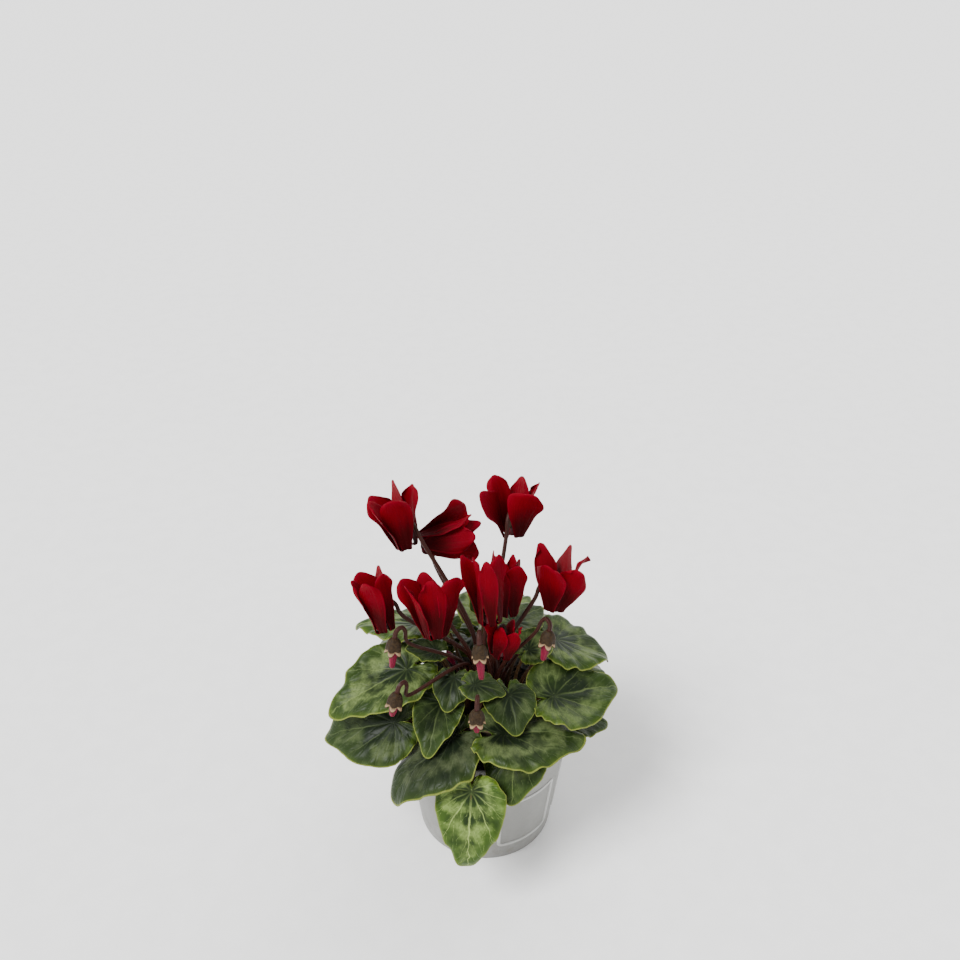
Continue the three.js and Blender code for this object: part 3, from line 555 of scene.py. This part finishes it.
def petal_look():
    """Deep red velvet with streaks; painted light makes it lighter towards the tip, painted shade darker
    towards the throat, and a painted highlight runs along the edge.
    """
    look = Look(
        "petal", Specular_IOR_Level=0.04, Sheen_Weight=0.05, Sheen_Roughness=0.4,
        Sheen_Tint=(1, 0.05, 0.09, 1),
    )
    u, v, seed = look.attribute("flat")
    streak = look.noise(look.vector(look.times(u, 9.0), look.times(v, 1.3), seed), 1.0, 4.0, 0.6)
    cloud = look.noise(look.vector(u, look.times(v, 2.0), seed), 1.1, 2.0)
    # lift holds the petal's own streaks and clouds, plus painted light that makes it lighter towards the
    # tip
    lift = look.plus(look.times(streak, 0.2), look.times(cloud, 0.35), look.smooth(v, 0.4, 0.95, 0.0, 0.5))
    base = look.mix(look.smooth(lift, 0.3, 0.8), (0.03, 0.0, 0.0008), (0.125, 0.0, 0.0045))
    # Painted shade: darker towards the throat, where the petal curls back
    base = look.mix(look.smooth(v, 0.2, 0.55, 0.8, 0.0), base, (0.018, 0.0, 0.001))
    # Painted highlight along the edges and the tip
    side = look.math("POWER", look.math("ABSOLUTE", u), 8.0)
    rim = look.times(look.math("MAXIMUM", side, look.smooth(v, 0.9, 1.0)), 0.4)
    base = look.mix(rim, base, (0.22, 0.0006, 0.012))
    height = look.plus(streak, look.times(look.noise(look.place(), 2600.0, 2.0), 0.35))
    return look.finish(base, look.smooth(streak, 0.3, 0.7, 0.5, 0.68), height, 0.0004)


def mottled_look(name, dark, pale, scale, distance, roughness):
    """A mottled surface with its own grain."""
    look = Look(name)
    place = look.place()
    grain = look.noise(place, scale * 7, 3.0, 0.6)
    both = look.plus(look.times(look.noise(place, scale, 5.0, 0.62), 0.7), look.times(grain, 0.3))
    base = look.mix(look.smooth(both, 0.3, 0.7), dark, pale)
    return look.finish(base, look.smooth(grain, 0.25, 0.75, *roughness), both, distance)


def calyx_look():
    """Brown-green at the neck, cream at the edge of the lobes."""
    look = Look("calyx", Specular_IOR_Level=0.12)
    _, share, _ = look.attribute("flat")
    mottle = look.noise(look.place(), 900.0, 3.0, 0.6)
    base = look.mix(look.smooth(mottle, 0.3, 0.7), (0.014, 0.0075, 0.0034), (0.034, 0.02, 0.0085))
    worn = look.plus(share, look.times(look.minus(mottle, 0.5), 0.12))
    base = look.mix(look.smooth(worn, 0.66, 0.92), base, (0.29, 0.19, 0.105))
    return look.finish(base, look.smooth(mottle, 0.3, 0.7, 0.5, 0.7), mottle, 0.0003)


def bud_look():
    """Rolled pink petals with darker lines of painted shade along their folds."""
    look = Look("bud_petal", Specular_IOR_Level=0.15, Sheen_Weight=0.05)
    around, share, _ = look.attribute("flat")
    fold = look.math("PINGPONG", look.times(around, PETAL_COUNT / math.tau), 0.5)
    streak = look.noise(look.vector(look.times(around, 5.0), look.times(share, 1.5), 0.0), 1.0)
    base = look.mix(look.smooth(streak, 0.3, 0.7), (0.1, 0.0, 0.011), (0.19, 0.0, 0.027))
    # Painted shade: darker lines along the folds of the rolled petals
    base = look.mix(look.smooth(fold, 0.3, 0.5), base, (0.1, 0.0, 0.012))
    base = look.mix(look.smooth(share, 0.0, 0.3, 0.3, 0.0), base, (0.24, 0.001, 0.048))
    return look.finish(base, look.smooth(streak, 0.3, 0.7, 0.42, 0.58), streak, 0.0003)


def pot_look(name, dark, pale):
    """Moulded grey plastic: faint flow marks, fine grain, and a little soil dust low down."""
    look = Look(name, Specular_IOR_Level=0.3)
    place = look.place()
    x, y, z = look.add("SeparateXYZ", {0: place}).outputs
    flow = look.noise(look.vector(x, y, look.times(z, 0.15)), 38.0, 3.0, 0.6)
    scuff = look.noise(place, 130.0, 5.0, 0.7)
    base = look.mix(look.smooth(flow, 0.3, 0.7), dark, pale)
    dust = look.times(look.smooth(z, 0.0, 0.03, 1.0, 0.0), look.smooth(scuff, 0.45, 0.7, 0.0, 0.35))
    base = look.mix(dust, base, (0.12, 0.095, 0.07))
    base = look.mix(look.smooth(scuff, 0.62, 0.72, 0.0, 0.12), base, (0.4, 0.4, 0.385))
    height = look.plus(look.noise(place, 1900.0, 2.0), look.times(flow, 0.6))
    return look.finish(base, look.smooth(look.plus(flow, scuff), 0.7, 1.3, 0.36, 0.54), height, 0.00012)


leaf_top = leaf_look(under=False)
leaf_under = leaf_look(under=True)
# Foot colours: the stems' own red-brown, darkened in part as painted shade where they crowd over the corm
petiole = stem_look("petiole", (0.028, 0.0085, 0.005), (0.075, 0.042, 0.016), (0.09, 0.036, 0.018))
stalk = stem_look("stalk", (0.038, 0.0105, 0.0065), (0.03, 0.008, 0.0055), (0.07, 0.021, 0.013))
petal = petal_look()
cup = mottled_look("corolla", (0.03, 0.0004, 0.002), (0.08, 0.001, 0.005), 500.0, 0.0002, (0.45, 0.6))
stamen = mottled_look("stamens", (0.2, 0.09, 0.015), (0.32, 0.18, 0.04), 900.0, 0.0002, (0.6, 0.8))
calyx = calyx_look()
bud_petal = bud_look()
soil = mottled_look("soil", (0.005, 0.0035, 0.0025), (0.035, 0.024, 0.016), 260.0, 0.0016, (0.8, 1.0))
chip = mottled_look("soil_chips", (0.012, 0.0075, 0.005), (0.08, 0.05, 0.03), 180.0, 0.0008, (0.75, 0.95))
cork = mottled_look("corm", (0.016, 0.01, 0.0065), (0.08, 0.05, 0.032), 160.0, 0.0012, (0.7, 0.9))
plastic = pot_look("pot_wall", (0.19, 0.19, 0.178), (0.23, 0.23, 0.216))
rib = pot_look("pot_frame", (0.36, 0.36, 0.345), (0.43, 0.43, 0.415))


# Pot

def wall_radius(z):
    return POT_BASE_RADIUS + POT_TAPER * z


def inner_radius(z):
    return wall_radius(z) - POT_WALL


def add_wall_frame(builder, first, last):
    """A raised border round a panel of the pot wall, with rounded corners and edges."""
    middle = (FRAME_LOW + FRAME_HIGH) / 2
    reach = wall_radius(middle)
    wide = ((last - first) * TURN * reach - FRAME_BORDER) / 2 - FRAME_CORNER
    tall = (FRAME_HIGH - FRAME_LOW - FRAME_BORDER) / 2 - FRAME_CORNER
    path = []
    for across, up, start in ((1, -1, -90), (1, 1, 0), (-1, 1, 90), (-1, -1, 180)):
        for k in range(7):
            angle = (start + 15 * k) * TURN
            out = np.array([math.cos(angle), math.sin(angle)])
            path.append((np.array([across * wide, up * tall]) + FRAME_CORNER * out, out))
    points = []
    for (a, out_a), (b, out_b) in zip(path, path[1:] + path[:1]):
        steps = max(1, int(np.linalg.norm(b - a) / 1.5))
        for t in np.arange(steps) / steps:
            for offset, raised in FRAME_SECTION:
                s, z = a + (b - a) * t + (out_a + (out_b - out_a) * t) * offset
                z += middle
                azimuth = (first + last) / 2 + s / reach / TURN
                points.append(polar(wall_radius(z) + raised, azimuth, z))
    sides = len(FRAME_SECTION)
    faces = ring_faces(len(points) // sides + 1, sides, flip=True)
    builder.add(points, [[k % len(points) for k in face] for face in faces])


def build_pot():
    shoulder = POT_HEIGHT - RIM_BAND
    inner = POT_RIM_RADIUS - POT_WALL
    profile = [
        (0, 0), (9.8, 0), (10.1, 0.3), (10.6, FOOT_DEPTH), (36.6, FOOT_DEPTH), (37.1, 0.3), (37.5, 0),
        (41, 0), (41.5, 0.25), *[(wall_radius(z), z) for z in (0.9, 20, 40, 60)],
        (wall_radius(shoulder) - 0.1, shoulder - 0.6),
        (wall_radius(shoulder) + 0.25, shoulder), (POT_RIM_RADIUS - 0.7, shoulder + 0.3),
        (POT_RIM_RADIUS - 0.35, shoulder + 0.8), (POT_RIM_RADIUS, POT_HEIGHT - 0.7),
        (POT_RIM_RADIUS - 0.2, POT_HEIGHT - 0.15), (POT_RIM_RADIUS - 0.65, POT_HEIGHT),
        (inner + 0.15, POT_HEIGHT - 0.15), (inner, POT_HEIGHT - 0.6), (inner - 0.4, shoulder + 0.4),
        (inner_radius(shoulder), shoulder - 2), (inner_radius(40), 40),
        (inner_radius(FLOOR_TOP), FLOOR_TOP), (0, FLOOR_TOP),
    ]
    builder = Builder()
    add_turned(builder, profile, 160)
    piece = builder.finish("pot_body", [plastic], "pot", "pot")
    for k in range(DRAIN_COUNT):
        bpy.ops.mesh.primitive_cylinder_add(
            vertices=40, radius=DRAIN_RADIUS * MM, depth=12 * MM,
            location=polar(DRAIN_CIRCLE, 360 / DRAIN_COUNT * k, 2) * MM,
        )
        drill = bpy.context.object
        apply_modifier(piece, "BOOLEAN", operation="DIFFERENCE", solver="EXACT", object=drill)
        bpy.data.objects.remove(drill)
    apply_modifier(piece, "EDGE_SPLIT", split_angle=math.radians(40))
    frames = Builder()
    for first, last in WALL_FRAMES:
        add_wall_frame(frames, first, last)
    frames.finish("pot_frames", [rib], "pot", "pot")


# Soil and corm

def corm_height(radius):
    return CORM_CROWN - (CORM_CROWN - CORM_SHOULDER) * (radius / CORM_RADIUS) ** 2


def ripples(x, y, scale, count, seed):
    """Smooth random bumps made of a few waves in seeded directions, from about -1 to 1."""
    draw = np.random.default_rng(seed)
    total = np.zeros_like(x)
    for _ in range(count):
        angle = draw.uniform(0, math.tau)
        size = draw.uniform(0.6, 1.8)
        phase = draw.uniform(0, math.tau)
        total += np.sin((x * math.cos(angle) + y * math.sin(angle)) * size / scale + phase)
    return total / math.sqrt(count / 2) / 1.6


CHIP = np.array([
    (0, 0, 1), (0.9, 0, 0.4), (0.28, 0.85, 0.45), (-0.72, 0.53, 0.4), (-0.72, -0.53, 0.45),
    (0.28, -0.85, 0.4), (0.72, 0.53, -0.45), (-0.28, 0.85, -0.4), (-0.9, 0, -0.45),
    (-0.28, -0.85, -0.4), (0.72, -0.53, -0.45), (0, 0, -1),
])
CHIP_FACES = [
    face for a, b in ((1, 2), (2, 3), (3, 4), (4, 5), (5, 1))
    for face in ((0, a, b), (a, a + 5, b), (a + 5, b + 5, b), (11, b + 5, a + 5))
]


def build_soil():
    builder = Builder()
    outer = inner_radius(76) - 0.4
    radii = [5, 12, 19, 25, *np.linspace(27, outer, 26)]
    top = [(0, SOIL_TOP), *[(r, SOIL_TOP - 1.2 * smooth_step(r, 36, 50)) for r in radii]]
    foot = (inner_radius(SOIL_BOTTOM) - 0.6, SOIL_BOTTOM)
    side = [(outer, 70), (inner_radius(40) - 0.5, 40), foot]

    def crumbs(r, z, t, share):
        x, y = r * np.cos(t), r * np.sin(t)
        on_top = (z > 75) & (r > SOIL_DISH) & (r < outer - 0.5)
        bumps = 0.7 * ripples(x, y, 1.6, 9, 1) + 0.45 * ripples(x, y, 0.6, 9, 2)
        dip = np.where(r < SOIL_DISH, -4.0, 0.0) * (z > 75)
        return r, z + np.where(on_top, bumps, 0) + dip, t

    add_turned(builder, [*top, *side, (0, SOIL_BOTTOM)], 150, shape=crumbs)
    for _ in range(CRUMB_COUNT):
        reach = math.sqrt(random.uniform((SOIL_DISH + 0.5) ** 2, (outer - 1.2) ** 2))
        size = random.uniform(0.45, 1.5) * (1.5 if random.random() < 0.08 else 1)
        axes = np.linalg.qr(random.normal(size=(3, 3)))[0]
        points = CHIP * random.uniform(0.75, 1.25, (12, 1)) * size * random.uniform(0.5, 1.25, 3)
        centre = polar(reach, random.uniform(0, 360), SOIL_TOP + 0.2 * size)
        builder.add(points @ axes + centre, CHIP_FACES, 1)
    piece = builder.finish("soil_filling", [soil, chip], "soil", "soil")
    flat = [p.material_index == 0 for p in piece.data.polygons]
    piece.data.polygons.foreach_set("use_smooth", flat)


def build_corm():
    builder = Builder()
    dome = [(r, corm_height(r)) for r in np.linspace(CORM_RADIUS - 0.6, 1, 26)]
    side = [
        (CORM_RADIUS * 0.6, CORM_BOTTOM + 2), (CORM_RADIUS * 0.93, 71), (CORM_RADIUS - 0.2, 76),
        (CORM_RADIUS, 78.6),
    ]

    def knobs(r, z, t, share):
        x, y = r * np.cos(t), r * np.sin(t)
        top = smooth_step(z, 78, 81)
        bumps = 0.55 * ripples(x, y, 1.7, 8, 3) + 0.3 * ripples(x, y, 0.7, 8, 4)
        return r, z + top * bumps, t

    add_turned(builder, [(0, CORM_BOTTOM), *side, *dome, (0, CORM_CROWN)], 120, shape=knobs)
    builder.finish("corm_body", [cork], "corm", "corm")


def root_point(root):
    return polar(*root, corm_height(root[0]) - ROOT_DEPTH)


# Leaves

def leaf_reach(phi, heel):
    """How far the blade reaches from its joint at each angle, as a share of its length."""
    degrees = np.abs(phi) / TURN
    whole = 0.645 + 0.1 * np.cos(phi) + 0.035 * np.cos(2 * phi)
    point = 0.22 * np.exp(-((degrees / 16) ** 2))
    notch = 0.4 * np.exp(-(((180 - degrees) / 13) ** 2))
    scallop = 0.008 * np.cos(9 * phi) * np.sin(phi) ** 2
    lobes = 1 - (1 - heel) * np.maximum(0, -np.cos(phi))
    return (whole + point - notch + scallop) * lobes


def leaf_frame(leaf):
    joint = np.array(leaf["joint"], float)
    chord = np.array(leaf["tip"], float) - joint
    ahead = unit(chord)
    left = unit(np.cross(UP, ahead))
    roll = leaf["roll"] * TURN
    left = left * math.cos(roll) + np.cross(ahead, left) * math.sin(roll)
    bend = leaf["droop"] * TURN
    length = np.linalg.norm(chord) * bend / 2 / math.sin(bend / 2)
    return joint, ahead, left, np.cross(ahead, left), bend, length


def leaf_points(leaf, rho, phi, fine=True):
    """Points of the blade's middle sheet, and their flat coordinates in millimetres from the joint."""
    joint, ahead, left, above, bend, length = leaf_frame(leaf)
    teeth = 1 + 0.003 * np.cos(31 * phi) * np.minimum(1, np.abs(np.sin(phi)) * 2) if fine else 1
    reach = rho * leaf_reach(phi, leaf["heel"]) * (1 + (teeth - 1) * rho ** 8)
    along = reach * np.cos(phi)
    across = reach * np.sin(phi) * leaf["width"]
    ridge = leaf["fold"] * (np.hypot(across, 0.12) - 0.12)
    waves = np.sin(3 * phi + leaf["phase"]) + 0.6 * np.sin(7 * phi + 2 * leaf["phase"])
    height = length * (ridge - leaf["curl"] * across ** 2) + leaf["wave"] * rho ** 2 * waves
    if fine:
        size = length / 40
        ruffle = np.sin(13 * phi + 5 * leaf["phase"]) + 0.7 * np.sin(19 * phi + 3 * leaf["phase"])
        swept = np.abs(phi * (1 + 0.3 * rho)) / VEIN_SPACING
        between = np.abs((swept + 0.5) % 1 - 0.5) * 2
        pucker = between ** 0.7 * np.sin(np.pi * np.minimum(1, rho)) ** 0.7 * (np.abs(phi) < 3.0)
        seed = int(100 + 10 * leaf["phase"])
        uneven = ripples(along * length, across * length, 7, 7, seed) * smooth_step(rho, 0.1, 0.5)
        crinkle = smooth_step(np.abs(phi), 1.6, 2.6) * (1 + 0.7 * np.sin(21 * phi + leaf["phase"]))
        height = height + size * rho ** 5 * (0.85 * ruffle + 1.5 * crinkle)
        height = height + size * (0.22 * pucker + 0.8 * uneven)
        height = height - 1.1 * size * smooth_step(rho, 0.88, 1.0) ** 2
    turn = bend * along
    arc = length / bend
    x = (arc + height) * np.sin(turn)
    z = -arc * (1 - np.cos(turn)) + height * np.cos(turn)
    c, s = math.cos(bend / 2), math.sin(bend / 2)
    out = joint + (x * c - z * s)[..., None] * ahead + (across * length)[..., None] * left
    out = out + (x * s + z * c)[..., None] * above
    return out, np.stack([along * length, across * length, rho], axis=-1)


def petiole_path(leaf):
    base = root_point(leaf["root"])
    above = leaf_frame(leaf)[3]
    end = leaf_points(leaf, np.array(0.1), np.array(0.0), fine=False)[0] - 0.36 * above
    span = end - base
    outwards = unit(np.array([span[0], span[1], 0]))
    slope = leaf.get("arrive", 30) * TURN
    arrival = outwards * math.cos(slope) + UP * math.sin(slope)
    shoulder = base + UP * (ROOT_DEPTH + 3)
    lower = base + UP * leaf.get("rise", 0.55 * span[2] + 4)
    upper = end - arrival * 0.4 * math.hypot(span[0], span[1])
    t = np.linspace(0, 1, 50)[:, None]
    inner = 3 * (1 - t) ** 2 * t * lower + 3 * (1 - t) * t ** 2 * upper
    bezier = (1 - t) ** 3 * shoulder + inner + t ** 3 * end
    return spaced(np.concatenate([[base], bezier]), 30)


def build_leaf(number, leaf):
    rho = np.concatenate([[0.03], np.linspace(0.1, 0.9, LEAF_RINGS - 4), [0.95, 0.985, 1.0]])
    phi = np.arange(LEAF_SIDES) * math.tau / LEAF_SIDES
    phi = (phi + math.pi) % math.tau - math.pi
    grid_rho, grid_phi = np.meshgrid(rho, phi, indexing="ij")
    middle, coords = leaf_points(leaf, grid_rho, grid_phi)
    around = np.roll(middle, -1, axis=1) - np.roll(middle, 1, axis=1)
    outwards = np.gradient(middle, axis=0)
    normal = unit(np.cross(outwards, around))
    thick = LEAF_THICKNESS * (1 - 0.45 * grid_rho ** 4)[..., None] / 2
    rim = middle[-1:] + unit(outwards[-1:]) * 0.16
    sheet = np.concatenate([middle + normal * thick, rim, (middle - normal * thick)[::-1]])
    flat = np.concatenate([coords, coords[-1:] + [0, 0, 0.01], coords[::-1]])
    centre, centre_coords = leaf_points(leaf, np.zeros(1), np.zeros(1))
    above, _, length = leaf_frame(leaf)[3:]
    points = [sheet.reshape(-1, 3), centre + above * 0.35, centre - above * 0.35]
    coords = [flat.reshape(-1, 3), centre_coords, centre_coords]
    rows = len(sheet)
    top_faces = len(rho) * LEAF_SIDES
    slots = [0] * top_faces + [1] * ((rows - 1) * LEAF_SIDES - top_faces)
    slots += [0] * LEAF_SIDES + [1] * LEAF_SIDES
    builder = Builder()
    faces = skin_faces(rows, LEAF_SIDES, flip=True)
    builder.add(np.concatenate(points), faces, slots, np.concatenate(coords))
    thin = min(1.0, 0.7 + length / 150)
    add_tube(builder, petiole_path(leaf), PETIOLE_RADIUS * thin, PETIOLE_TAPER, 9, 2)
    name = f"leaf_{number:02d}"
    tone = (number * 7.3, leaf["silver"], leaf["light"])
    builder.finish(name + "_blade", [leaf_top, leaf_under, petiole], "leaf", name, tone)


# Blooms

def bloom_frame(bloom):
    nose = np.array(bloom["nose"], float)
    axis = unit(np.array(bloom["top"], float) - nose)
    inwards = np.array(bloom.get("gap", (-nose[0], -nose[1], 0)), float)
    gap = unit(inwards - axis * np.dot(inwards, axis))
    return nose, axis, gap, np.cross(axis, gap)


def from_bloom(own_frame, points, lift=0.0):
    nose, axis, gap, beside = own_frame
    x, y, z = points[..., 0:1], points[..., 1:2], points[..., 2:3] + lift
    return nose + x * gap + y * beside + z * axis


def petal_points(bloom, index, u, v):
    """Points of a petal's middle sheet; u runs across it and v from its root to its tip."""
    tilted, twisted, shifted = (
        math.sin(step * index + place) for step, place in zip(PETAL_VARIATION, bloom["nose"])
    )
    ear, ear_twist, ear_length = bloom.get("ear", (-1, 0, 1))
    eared = index == ear
    azimuth = 180 + PETAL_SHIFT + PETAL_SPACING * (index - (PETAL_COUNT - 1) / 2) + 4 * shifted
    azimuth *= TURN
    opening = (bloom["open"] + 5 * tilted) * TURN
    twist = (bloom["twist"] * (1 + 0.6 * twisted) + (ear_twist if eared else 0)) * TURN * v
    flare = bloom["flare"] * TURN
    whole = np.maximum(0, v - CURL_SHARE) / (1 - CURL_SHARE)
    share = whole - (0.1 + 0.04 * shifted) * u * u * whole ** 3 - 0.04 * u ** 4 * whole ** 6
    curl = np.minimum(1, v / CURL_SHARE) * (math.pi - opening)
    lean = opening + flare * share
    arc = bloom["petal"] * (ear_length if eared else 1) / flare
    radius = MOUTH_RADIUS + CURL_RADIUS * (1 - np.cos(curl)) + arc * (math.cos(opening) - np.cos(lean))
    height = 0.6 - CURL_RADIUS * np.sin(curl) + arc * (np.sin(lean) - math.sin(opening))
    angle = np.where(whole > 0, lean, math.pi - curl)
    root = 0.19 + 0.14 * np.minimum(1, v / CURL_SHARE)
    belly = root + (1 - root) * np.sin((math.pi / 2) * np.minimum(1, whole / 0.74)) ** 1.3
    tip = np.sqrt(1 - 0.68 * (np.maximum(0, whole - 0.7) / 0.3) ** 2)
    half = bloom["half"] * (EAR_WIDTH if eared else 1) * belly * tip
    size = bloom["half"] / 9
    radius = radius + 0.22 * bloom["half"] * whole ** 4
    phase = 1.7 * index + bloom["nose"][1]
    ruffle = np.sin(6 * whole + phase) * u * np.abs(u) + 0.45 * np.sin(13 * whole + 2 * phase) * u ** 4
    lip = smooth_step(np.abs(u), 0.55, 1.05) * np.where(u > 0, math.sin(phase), math.cos(1.3 * phase))
    crease = -0.3 * np.exp(-((u / 0.2) ** 2)) * (1 - whole)
    wave = size * (1.5 * ruffle * whole + 2.3 * lip * whole + crease)
    across = u * half * np.cos(twist)
    out = u * half * np.sin(twist) - 0.22 * half * u * u * whole + wave
    r = radius + out * np.cos(angle)
    z = height - out * np.sin(angle)
    c, s = math.cos(azimuth), math.sin(azimuth)
    return np.stack([r * c - across * s, r * s + across * c, z], axis=-1)


def add_petal(builder, bloom, index, own_frame, seed):
    v = np.concatenate([np.linspace(0, CURL_SHARE, CURL_ROWS)[:-1], np.linspace(CURL_SHARE, 1, PETAL_ROWS)])
    even = np.linspace(-1, 1, PETAL_COLUMNS)
    u = 0.4 * np.sin(even * math.pi / 2) + 0.6 * even
    grid_v, grid_u = np.meshgrid(v, u, indexing="ij")
    middle = petal_points(bloom, index, grid_u, grid_v)
    normal = unit(np.cross(np.gradient(middle, axis=1), np.gradient(middle, axis=0)))
    thick = (0.32 - 0.17 * grid_u ** 4 - 0.1 * grid_v ** 4)[..., None]
    upper, lower = middle + normal * thick, middle - normal * thick
    right = middle[:, -1:] + unit(middle[:, -1:] - middle[:, -2:-1]) * 0.1
    left = middle[:, :1] + unit(middle[:, :1] - middle[:, 1:2]) * 0.1
    ring = np.concatenate([upper, right, lower[:, ::-1], left], axis=1)
    own_u = np.concatenate([u, [1], u[::-1], [-1]])
    coords = np.stack(np.broadcast_arrays(own_u[None, :], v[:, None], seed), axis=-1)
    rows, columns = ring.shape[:2]
    n = len(u)
    cap = [(j, j + 1, 2 * n - 1 - j, 2 * n - j) for j in range(n - 1)]
    cap += [(2 * n + 1, 0, 2 * n), (n - 1, n, n + 1)]
    faces = ring_faces(rows, columns) + [face[::-1] for face in cap]
    faces += [[k + (rows - 1) * columns for k in face] for face in cap]
    builder.add(from_bloom(own_frame, ring.reshape(-1, 3)), faces, 0, coords.reshape(-1, 3))


def five(angle, power=1.0):
    """Five rounded crests round the axis, from 0 to 1."""
    return np.abs(np.cos(2.5 * angle)) ** power


def build_bloom(number, bloom):
    own_frame = bloom_frame(bloom)
    builder = Builder()
    for index in range(PETAL_COUNT):
        add_petal(builder, bloom, index, own_frame, number * 3.1 + index * 1.7)

    def lobed(r, z, t, share):
        return r * (1 + 0.06 * np.cos(5 * t) * (z > 0.5)), z, t

    add_turned(builder, COROLLA_CUP, 40, 1, own_frame, shape=lobed)
    add_turned(builder, ANTHERS, 20, 2, own_frame)
    builder.finish(f"bloom_{number}_petals", [petal, cup, stamen], "bloom", f"bloom_{number}")


def stem_foot(root, level, share):
    """A stem's first points: its root, just above the corm, then on upright a share of the way to level."""
    base = root_point(root)
    high = base[2] + (level - base[2]) * share
    return [base, base + UP * (ROOT_DEPTH + 4), (base[0], base[1], high)]


def hooked_path(root, own_frame, hook, lift, lean, samples):
    """From the corm up to the hook over a flower's neck; lean is the share of the height kept upright."""
    reach, top, seat = hook
    turns = np.array([
        (reach, 0, top - 10), (reach - 1.5, 0, top - 3.5), (reach / 2, 0, top), (0.8, 0, top - 1.5),
        (0, 0, seat),
    ])
    turns = from_bloom(own_frame, turns, lift)
    return spline([*stem_foot(root, turns[0, 2], lean), *turns], samples)


def build_stalk(number, bloom):
    own_frame = bloom_frame(bloom)
    builder = Builder()
    path = hooked_path(bloom["root"], own_frame, STALK_HOOK, lift=0, lean=STALK_LEAN, samples=90)
    add_tube(builder, path, STALK_RADIUS, STALK_TAPER, 12)

    def sepals(r, z, t, share):
        points = five(t, 0.8)
        low = smooth_step(share, 0.45, 0.75)
        return r * (1 + low * (0.42 * points - 0.18)), z - 0.5 * points * low * (share < 0.85), t

    add_turned(builder, CALYX, 50, 1, own_frame, shape=sepals)
    builder.finish(f"stalk_{number}_stem", [stalk, calyx], "stalk", f"stalk_{number}")


# Buds

def banded(share):
    """Pale and brown bands down the calyx of a bud: its share folded over four times."""
    for _ in range(4):
        share = np.clip(1 - np.abs(share - 0.64) / 0.5, 0, 1)
    return share


def build_bud(number, bud):
    own_frame = bloom_frame(bud)
    mouth = bud["bare"]

    def rolled(r, z, t, share):
        return r * (0.78 + 0.18 * five(t + 0.16 * z, 0.6)), z, t + BUD_TURN * z

    profile = [
        (0, 0), (0.7, 0.12), (1.25, 0.5), (1.7, 1.2), (1.95, 0.25 * mouth + 0.6), (2.3, 0.5 * mouth),
        (2.6, 0.75 * mouth), (2.9, mouth), (2.85, mouth + 1.6), (2.5, mouth + 3.5), (1.4, mouth + 4.8),
        (0, mouth + 5.5),
    ]
    builder = Builder()
    add_turned(builder, profile, 40, 0, own_frame, shape=rolled)
    builder.finish(f"bud_{number}_petals", [bud_petal], "bud", f"bud_{number}")

    def lobes(r, z, t, share):
        points = five(t, 1.3)
        lip = np.exp(-(((share - 0.6) / 0.16) ** 2))
        return r * (0.95 + 0.08 * points) + lip * (1.3 * points - 0.5), z - lip * (2.6 * points - 1.5), t

    stem = Builder()
    add_turned(stem, BUD_CALYX, 60, 1, own_frame, mouth, lobes, banded)
    path = hooked_path(bud["root"], own_frame, BUD_HOOK, lift=mouth, lean=bud["lean"], samples=80)
    add_tube(stem, path, BUD_STALK_RADIUS, BUD_STALK_TAPER, 12)
    name = f"bud_stalk_{number}"
    stem.finish(name + "_stem", [stalk, calyx], "stalk", name)


def build_young_bud(number, bud):
    tip = np.array(bud["tip"], float)
    path = spline([*stem_foot(bud["root"], tip[2], 0.6), tip], 40)
    aim = unit(path[-1] - path[-2])
    side = unit(np.cross(aim, [0.2, 1, 0.1]))
    own_frame = (tip, aim, side, np.cross(aim, side))
    builder = Builder()
    add_tube(builder, path, BUD_STALK_RADIUS, ([0, 1], [1, 1]), 10)

    def pleated(r, z, t, share):
        return r * (0.92 + 0.1 * five(t)), z, t

    add_turned(builder, YOUNG_BUD, 30, 1, own_frame, shape=pleated)
    name = f"young_bud_{number}"
    builder.finish(name + "_stem", [stalk, bud_petal], "stalk", name)


build_pot()
build_soil()
build_corm()
for number, leaf in enumerate(LEAVES, 1):
    build_leaf(number, leaf)
for number, bloom in enumerate(BLOOMS, 1):
    build_bloom(number, bloom)
    build_stalk(number, bloom)
for number, bud in enumerate(BUDS, 1):
    build_bud(number, bud)
for number, bud in enumerate(YOUNG_BUDS, 1):
    build_young_bud(number, bud)

# Floor and light

bpy.ops.mesh.primitive_plane_add(size=30)
floor = bpy.context.object
floor.name = "floor"
look = Look("floor", Roughness=0.9, Specular_IOR_Level=0.1)
paper = look.noise(look.place(), 60.0, 4.0)
pale = look.mix(look.smooth(paper, 0.3, 0.7), (0.92, 0.92, 0.915), (0.95, 0.95, 0.945))
look.links.new(pale, look.shader.inputs["Base Color"])
floor.data.materials.append(look.material)

world = bpy.data.worlds.new("studio")
world.use_nodes = True
nodes, links = world.node_tree.nodes, world.node_tree.links
height = nodes.new("ShaderNodeSeparateXYZ")
glow = nodes.new("ShaderNodeMapRange")
glow.interpolation_type = "SMOOTHSTEP"
for socket, value in zip(list(glow.inputs)[1:5], (0.1, 0.6, 1.9, 0.8)):
    socket.default_value = value
links.new(nodes.new("ShaderNodeTexCoord").outputs["Generated"], height.inputs[0])
links.new(height.outputs["Z"], glow.inputs[0])
links.new(glow.outputs[0], nodes["Background"].inputs["Strength"])
nodes["Background"].inputs["Color"].default_value = (1, 1, 1, 1)
scene.world = world


def soft_sun(name, place, strength, angle):
    """A broad, distant lamp that shines from place towards the plant."""
    data = bpy.data.lights.new(name, "SUN")
    data.energy, data.angle = strength, angle * TURN
    light = bpy.data.objects.new(name, data)
    x, y, z = unit(np.array(place, float))
    light.rotation_euler = (math.acos(z), 0, math.atan2(y, x) + math.pi / 2)
    show(light)


soft_sun("key", (-0.6, -0.45, 1.0), 4.6, 25)
soft_sun("back", (0.4, 0.9, 0.9), 1.2, 50)
